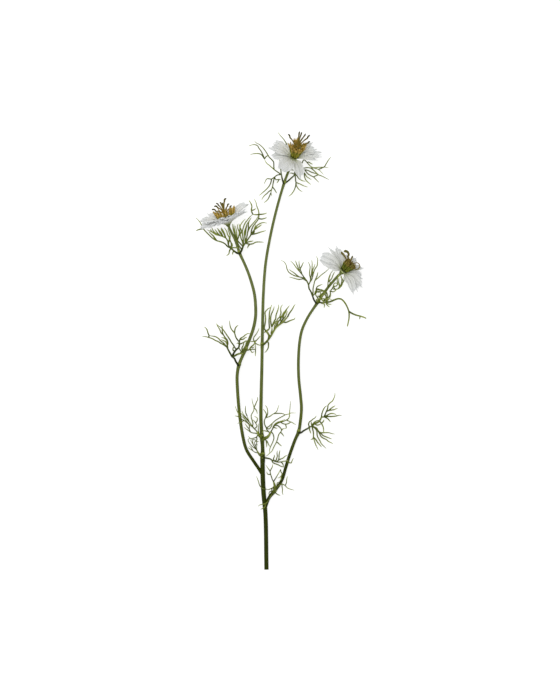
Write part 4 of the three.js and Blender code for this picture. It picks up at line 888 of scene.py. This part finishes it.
# The ovary has a firm skin that shines a little.
OVARY_SKIN = speckled("deep_green_ovary", 0.45, 0x5A5A18, 0x84822E, 1.5, 0.1)
# Styles run from golden brown at the foot to olive, and the open blooms' to dark green at the tip.
STYLE_SKIN = thread_skin("olive_style", 0xB08A3A, 0x9A8434, 0x46481A)
YOUNG_STYLE_SKIN = thread_skin("golden_green_style", 0x925A30, 0x8E7C3C, 0x727034)
STYLE_SKINS = {"open": STYLE_SKIN, "bowed": STYLE_SKIN, "young": YOUNG_STYLE_SKIN}
# Nectaries are dark, with a shine of nectar.
NECTARY_SKIN = speckled("dark_nectary", 0.35, 0x2E3216, 0x5C6236, 0.8, 0.1)

# ---- Tubes ----


def tube_curve(name, materials):
    """An empty curve whose splines become round tubes with their radii given in millimetres."""
    curve = bpy.data.curves.new(name, "CURVE")
    curve.dimensions = "3D"
    curve.bevel_depth = MM
    curve.use_fill_caps = True
    for material in materials:
        curve.materials.append(material)
    return curve


def add_tube(curve, path, radii, material_number=0):
    """Adds one tube along a path of places in the frame."""
    spline = curve.splines.new("POLY")
    spline.points.add(len(path) - 1)
    for point, place, radius in zip(spline.points, path, radii):
        point.co = (*place, 1)
        point.radius = radius
    spline.material_index = material_number
    spline.use_smooth = True


def made_mesh(curve):
    """The curve as a closed mesh piece."""
    piece = bpy.data.objects.new(curve.name, curve)
    bpy.context.scene.collection.objects.link(piece)
    take(piece)
    bpy.ops.object.convert(target="MESH")
    piece = bpy.context.object
    tidy_mesh(piece)
    return piece


# ---- Stem ----

# Radii of a receptacle at distances under its top.
RECEPTACLE_WIDTHS = [(0, 2.2), (0.5, RECEPTACLE_RADIUS), (1.6, 2.5), (RECEPTACLE_LENGTH, NECK_RADIUS)]
PITH_RIM = 0.45  # the width of green skin round the pith
PITH_DEPTH = 0.25


def ribbed_section():
    """A closed outline of radius 1 mm with shallow furrows between its ribs."""
    outline = bpy.data.curves.new("ribbed_section", "CURVE")
    spline = outline.splines.new("POLY")
    corners = 4 * STEM_RIBS
    spline.points.add(corners - 1)
    for number, point in enumerate(spline.points):
        angle = 2 * math.pi * number / corners
        radius = MM * (1 - RIB_DEPTH * (0.5 - 0.5 * math.cos(STEM_RIBS * angle)))
        point.co = (radius * math.cos(angle), radius * math.sin(angle), 0, 1)
    spline.use_cyclic_u = True
    section = bpy.data.objects.new("ribbed_section", outline)
    bpy.context.scene.collection.objects.link(section)
    return section


def leaf_nodes(stem):
    return [Vector((*node, 0)) for stem_name, node, *_ in LEAVES.values() if stem_name == stem]


def stem_radius(stem, point, radius):
    """The radius at a point of a stem, with the swelling of the leaf nodes near it."""
    swelling = sum(math.exp(-(((point.y - node.y) / NODE_LENGTH) ** 2)) for node in leaf_nodes(stem))
    return radius * (1 + NODE_SWELLING * min(swelling, 1))


def add_stem(curve, name):
    path, radii = [], []
    for point, radius in STEM_PATHS[name]:
        left = (point - STEM_PATHS[name][-1][0]).length
        in_receptacle = left < RECEPTACLE_LENGTH
        own = between(RECEPTACLE_WIDTHS, left) if in_receptacle else stem_radius(name, point, radius)
        radii.append(own)
        path.append(in_frame(point))
    add_tube(curve, path, radii)


def cut_face(stem):
    """Sinks the pith into the cut face at the foot of the stem."""
    stem.data.materials.append(CUT_PITH)
    foot = min(vertex.co.y for vertex in stem.data.vertices)
    take(stem)
    bpy.ops.object.mode_set(mode="EDIT")
    pick_faces(lambda middle, normal: normal.y < -0.9 and middle.y < foot + CUT_FACE_REACH * MM)
    bpy.ops.mesh.dissolve_faces()
    bpy.ops.mesh.inset(thickness=PITH_RIM * MM, depth=-PITH_DEPTH * MM)
    stem.active_material_index = len(stem.data.materials) - 1
    bpy.ops.object.material_slot_assign()
    bpy.ops.object.mode_set(mode="OBJECT")


def make_stem():
    curve = tube_curve("branched_stem", [STEM_SKIN])
    section = ribbed_section()
    curve.bevel_mode = "OBJECT"
    curve.bevel_object = section
    for name in STEMS:
        add_stem(curve, name)
    stem = made_mesh(curve)
    bpy.data.objects.remove(section)
    cut_face(stem)
    dress(stem, "stem", "stem")


# ---- Leaves and bracts ----


def strand_path(start, rise, route):
    """Points of one strand from its start, rising evenly and bent clear of the stems."""
    flat = smooth([start, *(Vector((x, y, start.z)) for x, y in route[1:])], THREAD_SPACING)
    path = [start]
    for point, share in list(zip(flat, shares(flat)))[1:]:
        point.z = max(start.z + rise * share, LOWEST_THREAD)
        path.append(bent_clear_of_stems(point, -1 if rise < 0 else 1))
    return path


def add_leaf_base(curve, stem, node_point):
    """The leaf base that clasps the stem and narrows into the stalk."""
    points = [(point, radius) for point, radius in STEM_PATHS[stem]
              if -LEAF_BASE_BELOW < point.y - node_point.y < LEAF_BASE_ABOVE]
    path = [in_frame(point) for point, _ in points]
    radii = [radius + between(LEAF_BASE_WALLS, share) for (_, radius), share in zip(points, shares(path))]
    add_tube(curve, path, radii)


def make_leaf(name):
    stem, node, stalks, threads = LEAVES[name]
    curve = tube_curve("threads_of_" + name, [THREAD_GREEN, THREAD_DARK])
    curve.bevel_resolution = 2
    node_point = nearest([point for point, _ in STEM_PATHS[stem]], node)
    add_leaf_base(curve, stem, node_point)
    strength = STRENGTHS.get(name, 1)
    stalk_widths = BROAD_STALK_WIDTHS if name in BROAD_STALKS else STALK_WIDTHS
    known = [node_point]
    for number, (rise, *route) in enumerate([*stalks, *threads]):
        path = strand_path(nearest(known, route[0]), rise, route)
        known += path[1:]
        widths = stalk_widths if number < len(stalks) else THREAD_WIDTHS
        radii = [strength * between(widths, share) for share in shares(path)]
        skin = 1 if number < DARK_STALKS.get(name, 0) else 0
        add_tube(curve, [in_frame(point) for point in path], radii, skin)
    dress(made_mesh(curve), "bracts" if name.startswith("bracts") else "leaves", name)


# ---- Petals ----

# Where the rows of every petal lie, as shares of its length, with the claw below 0.
PETAL_ROWS = [-0.08, 0.04, 0.16, 0.28, 0.42, 0.56, 0.7, 0.83, 0.93, 1]
# For each form of petal: its arch in degrees, the share of the full half width at each row, and how far
# each column, from one edge to the other, stops short of the tip.
PETAL_FORMS = {
    "broad": (
        28,
        [0.16, 0.3, 0.54, 0.75, 0.9, 0.98, 1, 0.98, 0.92, 0.82],
        [0.2, 0.08, 0.02, 0.08, 0.07, 0, 0.09, 0.1, 0.02, 0.06, 0.22],
    ),
    "lobed": (
        18,
        [0.16, 0.3, 0.6, 0.84, 0.97, 1, 0.94, 0.84, 0.7, 0.56],
        [0.26, 0.1, 0.22, 0.24, 0.04, 0, 0.1, 0.26, 0.2, 0.12, 0.3],
    ),
    "pointed": (
        24,
        [0.16, 0.3, 0.62, 0.88, 1, 0.97, 0.85, 0.62, 0.4, 0.2],
        [0.14, 0.2, 0.26, 0.16, 0.05, 0, 0.05, 0.12, 0.2, 0.1, 0.22],
    ),
    "ragged": (
        12,
        [0.16, 0.3, 0.58, 0.8, 0.94, 1, 0.98, 0.93, 0.86, 0.76],
        [0.26, 0, 0.1, 0.28, 0.12, 0.02, 0.24, 0.22, 0, 0.14, 0.34],
    ),
}
PETAL_COLUMNS = 10
GRID_OFFSET = 3  # how far the flat grid starts beyond the petal that is drawn from it
SAME_PLACE = 0.01  # a corner this near to its place on the grid is the one that is meant
ROW_MARGIN = 0.004  # corners farther past a row than this are beyond it
TIP_REACH = [0, 0, 0, 0, 0, 0, 0.1, 0.35, 0.68, 1]  # how much of the tip's cuts each row follows
FIRST_JAGGED_ROW = 5
JAGS = 0.09  # how far a jagged edge runs in and out
EDGE_RISE = 0.05  # how far the edges stand up over the middle
RUFFLE = 0.06  # how much more or less than that at each corner
# The rise of each column, from one edge to the other.
PLEATS = [0, 0.06, 0.04, -0.06, -0.05, 0.06, 0.04, -0.06, -0.03, 0.05, 0]
MORE_TWIST = 9  # degrees that a petal may be twisted either way, besides its own
SHARP_EDGE = 50  # degrees


def petal_corner(name, row, column, luck):
    """Where a corner of a flat petal lies, with its cut tip, jagged and ruffled edges, and pleats."""
    _, half_widths, tips = PETAL_FORMS[name]
    half_width = half_widths[row]
    across = 2 * column / PETAL_COLUMNS - 1
    jag = luck.uniform(-JAGS, JAGS) if row >= FIRST_JAGGED_ROW and abs(across) == 1 else 0
    ruffle = EDGE_RISE + luck.uniform(-RUFFLE, RUFFLE)
    rise = half_width * (ruffle * across ** 2 + PLEATS[column] * half_width)
    along = PETAL_ROWS[row] - TIP_REACH[row] * tips[column]
    return Vector((0.5 * (half_width + jag) * across, along, rise))


def petal_form(name, luck):
    """A petal of unit length and width, its claw at the origin, drawn from a flat grid corner by corner."""
    rows = len(PETAL_ROWS) - 1
    bpy.ops.object.select_all(action="DESELECT")
    bpy.ops.mesh.primitive_grid_add(
        x_subdivisions=PETAL_COLUMNS, y_subdivisions=rows, size=1, calc_uvs=True)
    petal = bpy.context.object
    petal.name = name + "_petal_form"
    bpy.ops.object.mode_set(mode="EDIT")
    bpy.ops.transform.translate(value=(0, GRID_OFFSET, 0))
    for row in range(rows + 1):
        for column in range(PETAL_COLUMNS + 1):
            now = Vector((column / PETAL_COLUMNS - 0.5, row / rows - 0.5 + GRID_OFFSET, 0))
            pick(lambda corner: (corner - now).length < SAME_PLACE)
            bpy.ops.transform.translate(value=petal_corner(name, row, column, luck) - now)
    arch_petal(PETAL_FORMS[name][0])
    bpy.ops.object.mode_set(mode="OBJECT")
    petal.data.materials.append(PETAL_TISSUE)
    return petal


def arch_petal(curl):
    """Bends the blade row by row, from the tip down, into its arch."""
    for before, here, after in reversed(list(zip(PETAL_ROWS, PETAL_ROWS[1:], PETAL_ROWS[2:]))):
        pick(lambda corner: corner.y > here + ROW_MARGIN)
        # With no window, a positive value turns what lies beyond the row down.
        turn_down = math.radians(curl) * (after - before)
        bpy.ops.transform.rotate(value=turn_down, orient_axis="X", center_override=(0, here, 0))
    bpy.ops.mesh.select_all(action="SELECT")
    first_slope = math.radians(curl) * (1 - PETAL_ROWS[0] - PETAL_ROWS[1])
    bpy.ops.transform.rotate(value=-first_slope, orient_axis="X", center_override=(0, 0, 0))


def make_petal(form, petal, place, twist):
    """One petal of a bloom, with some more twist on its length."""
    turn, lift, own_twist, length, width, _ = petal
    size = Matrix.Diagonal((width, length, length, 1))
    started = Matrix.Translation((0, PETAL_START, PETAL_HEIGHT))
    raised = Matrix.Rotation(math.radians(lift), 4, "X")
    turned = Matrix.Rotation(math.radians(turn), 4, "Z")
    twisted = Matrix.Rotation(math.radians(own_twist + twist), 4, "Y")
    return copied(form, place @ turned @ (started @ raised) @ twisted @ size)


def petal_disc(place):
    """The low domed disc that the petals grow from."""
    bpy.ops.object.select_all(action="DESELECT")
    bpy.ops.mesh.primitive_cylinder_add(vertices=24, radius=DISC_RADIUS, depth=DISC_THICKNESS,
                                        location=(0, 0, GAP + DISC_THICKNESS / 2))
    disc = bpy.context.object
    bpy.ops.object.transform_apply()
    bpy.ops.object.mode_set(mode="EDIT")
    pick_faces(lambda middle, normal: normal.z > 0.9)
    for width, rise in DISC_STEPS:
        bpy.ops.mesh.inset(thickness=width, depth=rise)
    bpy.ops.object.mode_set(mode="OBJECT")
    disc.data.materials.append(DISC_SKIN)
    disc.data.transform(place)
    return disc


def make_petals(bloom, forms, luck):
    place = bloom_place(bloom)
    petals = [make_petal(forms[petal[-1]], petal, place, luck.uniform(-MORE_TWIST, MORE_TWIST))
              for petal in BLOOMS[bloom]["petals"]]
    blades = joined(petals, "petals_of_" + bloom + "_bloom")
    subdivide = blades.modifiers.new("smooth", "SUBSURF")
    subdivide.levels = subdivide.render_levels = 2
    wall = blades.modifiers.new("wall", "SOLIDIFY")
    wall.thickness = PETAL_THICKNESS * MM
    wall.offset = 0
    apply_modifiers(blades)
    corolla = joined([blades, petal_disc(place)], "petals_of_" + bloom + "_bloom")
    take(corolla)
    bpy.ops.object.shade_smooth_by_angle(angle=math.radians(SHARP_EDGE))
    dress(corolla, "petals", "petals_" + bloom)


# ---- Stamens and pistil ----


def extrude_ring(rise, scale, drift=0):
    """Extrudes the selected ring upwards, widens or narrows it, and moves it sideways."""
    bpy.ops.mesh.extrude_region_move(TRANSFORM_OT_translate={"value": (0, drift, rise)})
    bpy.ops.transform.resize(value=(scale, scale, 1))


# The rings of each form of stamen as [outwards, up, radius], in millimetres. The last four are the anther.
STAMEN_FORMS = {
    "open": [
        [0, 0, 0.42], [0.2, 4, 0.4], [0.1, 8, 0.4], [-0.1, 11, 0.4], [-0.2, 11.8, 0.7], [-0.2, 13.8, 0.8],
        [0, 15.8, 0.58], [0.1, 17, 0.2],
    ],
    "bowed": [
        [0, 0, 0.42], [2.4, 1.6, 0.42], [4.1, 4.2, 0.42], [4.6, 7.4, 0.42], [4.8, 8.3, 0.62],
        [5.2, 10.6, 0.72], [5.8, 12.8, 0.52], [6.4, 14.2, 0.2],
    ],
    "young": [
        [0, 0, 0.5], [0.2, 3.5, 0.75], [0.4, 7, 0.95], [0.4, 10, 1.1], [0.3, 11.6, 1.15], [0.1, 13.4, 1.05],
        [-0.2, 15.2, 0.7], [-0.4, 16.6, 0.25],
    ],
}
ANTHER_RINGS = 4
ANTHER_SEAM = 0.2  # how far below its first ring an anther begins
# Each ring of a nectary or an ovary against the one below it: its rise, its scale and a nectary's drift
# outwards.
NECTARY_RINGS = [(0.5, 1.7, 0), (0.8, 1.2, 0.05), (0.6, 0.8, 0.1), (0, 0.6, 0), (-0.5, 0.7, 0)]
OVARY_RINGS = [(1.0, 1.14), (1.8, 1.1), (1.6, 0.98), (1.6, 0.88), (1.2, 0.78), (0.8, 0.6)]
OVARY_FURROWS = 5
FURROW_WIDTH = 0.84  # share of the ovary's radius that is left in a furrow
# The height of points of a style and how far they lean out, as shares.
STYLE_BENDS = [(0, 0.03), (0.5, 0.3), (0.88, 0.72), (1, 1)]
STYLE_WIDTHS = [(0, 0.6), (0.4, 0.65), (0.75, 1), (0.93, 1.15), (1, 0.4)]  # at shares of the length


def stamen_form(name):
    """One stamen, drawn up ring by ring: a thin filament and a swollen, pointed anther."""
    rings = STAMEN_FORMS[name]
    bpy.ops.object.select_all(action="DESELECT")
    bpy.ops.mesh.primitive_circle_add(vertices=6, radius=rings[0][2], fill_type="NGON")
    stamen = bpy.context.object
    stamen.name = name + "_stamen_form"
    bpy.ops.object.mode_set(mode="EDIT")
    bpy.ops.mesh.select_all(action="SELECT")
    for (out, up, radius), (next_out, next_up, next_radius) in zip(rings, rings[1:]):
        extrude_ring(next_up - up, next_radius / radius, next_out - out)
    bpy.ops.object.mode_set(mode="OBJECT")
    filament, anther = STAMEN_SKINS[name]
    stamen.data.materials.append(filament)
    stamen.data.materials.append(anther)
    anther_foot = rings[-ANTHER_RINGS][1]
    for face in stamen.data.polygons:
        face.material_index = 1 if face.center.z > anther_foot - ANTHER_SEAM else 0
    return stamen


def nectary_form():
    """One nectary: a small dark cup with a pinched lip."""
    bpy.ops.object.select_all(action="DESELECT")
    bpy.ops.mesh.primitive_circle_add(vertices=8, radius=NECTARY_FOOT_RADIUS, fill_type="NGON")
    nectary = bpy.context.object
    nectary.name = "nectary_form"
    bpy.ops.object.mode_set(mode="EDIT")
    bpy.ops.mesh.select_all(action="SELECT")
    for rise, scale, drift in NECTARY_RINGS:
        extrude_ring(rise, scale, drift)
    bpy.ops.object.mode_set(mode="OBJECT")
    nectary.data.materials.append(NECTARY_SKIN)
    return nectary


def style_path(style):
    """Points along one style, in the bloom's own millimetres, up from the ovary and curled at its tip."""
    side, upper, height, curl_radius, curl_turn, _ = style
    root = OVARY_BASE + OVARY_HEIGHT - STYLE_ROOT_DEPTH
    climb = height - root
    route = [Vector((-side * out, upper * out, root + climb * up)) for up, out in STYLE_BENDS]
    away = Vector((-side, upper, 0)).normalized()
    middle = route[-1] + curl_radius * away
    for part in range(1, STYLE_CURL_PARTS + 1):
        angle = math.radians(curl_turn) * part / STYLE_CURL_PARTS
        route.append(middle + curl_radius * (Vector((0, 0, math.sin(angle))) - math.cos(angle) * away))
    return smooth(route, STYLE_SPACING)


def stamen_places(bloom, luck):
    """Where the stamens stand: three rings, less those that would run through a style."""
    facts = BLOOMS[bloom]
    form, length, flare, number_in_ring = facts["stamens"]
    styles = [point for style in facts["styles"] for point in style_path(style)]
    places = []
    for ring in range(STAMEN_RINGS):
        for number in range(number_in_ring):
            stray = luck.uniform(-STAMEN_STRAY, STAMEN_STRAY)
            angle = 2 * math.pi * (number + ring / STAMEN_RINGS + stray) / number_in_ring
            sway = luck.uniform(-STAMEN_SWAY, STAMEN_SWAY)
            lean = math.radians(flare * (OUTER_LEAN - LEAN_STEP * ring) + sway)
            size = length * luck.uniform(*STAMEN_LENGTHS) / STAMEN_FORM_LENGTH
            foot = Matrix.Translation((0, STAMEN_RING_RADIUS - STAMEN_RING_STEP * ring, STAMEN_BASE))
            leaned = Matrix.Rotation(-lean, 4, "X")
            place = Matrix.Rotation(angle, 4, "Z") @ foot @ leaned @ Matrix.Scale(size, 4)
            out, up, _ = STAMEN_FORMS[form][-2]
            top = place @ Vector((0, out, up))
            if all((top - point).length > STYLE_CLEARANCE for point in styles):
                places.append(place)
    return places


def make_stamens(bloom, stamens, nectary, luck):
    place = bloom_place(bloom)
    form = stamens[BLOOMS[bloom]["stamens"][0]]
    pieces = [copied(form, place @ local) for local in stamen_places(bloom, luck)]
    for number in range(NECTARY_COUNT):
        turn = Matrix.Rotation(2 * math.pi * (number + 0.5) / NECTARY_COUNT, 4, "Z")
        foot = Matrix.Translation((0, NECTARY_RING_RADIUS, NECTARY_BASE))
        leaned = Matrix.Rotation(math.radians(-NECTARY_LEAN), 4, "X")
        pieces.append(copied(nectary, place @ turn @ (foot @ leaned)))
    stamens = joined(pieces, "stamens_of_" + bloom + "_bloom")
    tidy_mesh(stamens)
    dress(stamens, "stamens", "stamens_" + bloom)


def ovary_form():
    """The ovary: five grown-together carpels with a furrow between each two."""
    bpy.ops.object.select_all(action="DESELECT")
    bpy.ops.mesh.primitive_circle_add(vertices=20, radius=OVARY_FOOT_RADIUS, fill_type="NGON",
                                      location=(0, 0, OVARY_BASE))
    ovary = bpy.context.object
    ovary.name = "ovary_form"
    bpy.ops.object.transform_apply()
    bpy.ops.object.mode_set(mode="EDIT")
    bpy.ops.mesh.select_all(action="SELECT")
    for rise, scale in OVARY_RINGS:
        extrude_ring(rise, scale)
    for furrow in range(OVARY_FURROWS):
        angle = 2 * math.pi * (furrow + 0.5) / OVARY_FURROWS
        way = Vector((math.sin(angle), math.cos(angle)))
        pick(lambda corner: corner.xy.length > 0.1 and corner.xy.normalized().dot(way) > 0.99)
        bpy.ops.transform.resize(value=(FURROW_WIDTH, FURROW_WIDTH, 1), center_override=(0, 0, 0))
    bpy.ops.object.mode_set(mode="OBJECT")
    ovary.data.materials.append(OVARY_SKIN)
    smoothing = ovary.modifiers.new("smooth", "SUBSURF")
    smoothing.levels = smoothing.render_levels = 1
    apply_modifiers(ovary)
    return ovary


def make_pistil(bloom, ovary):
    place = bloom_place(bloom)
    curve = tube_curve("styles_of_" + bloom + "_bloom", [STYLE_SKINS[BLOOMS[bloom]["stamens"][0]]])
    curve.bevel_resolution = 2
    for style in BLOOMS[bloom]["styles"]:
        path = [place @ point for point in style_path(style)]
        full = STYLE_RADIUS * style[-1]
        add_tube(curve, path, [full * between(STYLE_WIDTHS, share) for share in shares(path)])
    pistil = joined([copied(ovary, place), made_mesh(curve)], "pistil_of_" + bloom + "_bloom")
    tidy_mesh(pistil)
    dress(pistil, "pistil", "pistil_" + bloom)


def make_blooms():
    luck = random.Random(7)
    petals = {name: petal_form(name, luck) for name in PETAL_FORMS}
    stamens = {name: stamen_form(name) for name in STAMEN_FORMS}
    nectary, ovary = nectary_form(), ovary_form()
    for bloom in BLOOMS:
        make_petals(bloom, petals, luck)
        make_stamens(bloom, stamens, nectary, luck)
        make_pistil(bloom, ovary)
    for form in [*petals.values(), *stamens.values(), nectary, ovary]:
        bpy.data.objects.remove(form)


# ---- Floor, light and camera ----

VIEW_CENTRE = in_frame([14, 220, 10])  # the middle of the plant
VIEW_HEIGHT = 0.7  # metres of the scene from the top to the bottom of the image
LENS = 200  # millimetres, as the sensor's width
SENSOR = 36
FLOOR_SIZE = 14  # metres
FLOOR_COLOUR = 0xBCBCBC
FLOOR_GLOW = 0.68
SKY_STRENGTH = 0.42
LIGHT_PLACE = Vector((-0.5, 0.5, 4.5))
LIGHT_SIZE = 2.4  # metres
LIGHT_WATTS = 108
FAR_CLIP = 20  # metres


def make_floor():
    """Matt white paper on a light table."""
    bpy.ops.object.select_all(action="DESELECT")
    bpy.ops.mesh.primitive_plane_add(size=FLOOR_SIZE)
    floor = bpy.context.object
    floor.name = "floor"
    material, shader = new_material("matt_white_paper", 0.9)
    # More than half of its light comes through it from below, so the plant casts hardly a shadow.
    shader.inputs["Base Color"].default_value = srgb(FLOOR_COLOUR)
    shader.inputs["Emission Color"].default_value = srgb(0xFFFFFF)
    shader.inputs["Emission Strength"].default_value = FLOOR_GLOW
    floor.data.materials.append(material)


def add_light(name, place, size, watts):
    """A square soft box that faces the middle of the plant."""
    light = bpy.data.lights.new(name, "AREA")
    light.size = size
    light.energy = watts
    holder = bpy.data.objects.new(name, light)
    holder.location = place
    holder.rotation_euler = (VIEW_CENTRE - holder.location).to_track_quat("-Z", "Y").to_euler()
    bpy.context.scene.collection.objects.link(holder)


def make_light():
    world = bpy.data.worlds.new("studio")
    world.use_nodes = True
    sky = world.node_tree.nodes["Background"]
    sky.inputs["Color"].default_value = srgb(0xFFFFFF)
    sky.inputs["Strength"].default_value = SKY_STRENGTH
    bpy.context.scene.world = world
    add_light("overhead_soft_box", LIGHT_PLACE, LIGHT_SIZE, LIGHT_WATTS)
    bpy.context.scene.view_settings.view_transform = "Standard"


def make_camera():
    camera = bpy.data.cameras.new("camera")
    camera.lens = LENS
    camera.sensor_width = SENSOR
    camera.clip_end = FAR_CLIP
    holder = bpy.data.objects.new("camera", camera)
    holder.location = VIEW_CENTRE + Vector((0, 0, VIEW_HEIGHT * LENS / SENSOR))
    bpy.context.scene.collection.objects.link(holder)
    bpy.context.scene.camera = holder


make_camera()
make_stem()
for leaf in LEAVES:
    make_leaf(leaf)
make_blooms()
make_floor()
make_light()
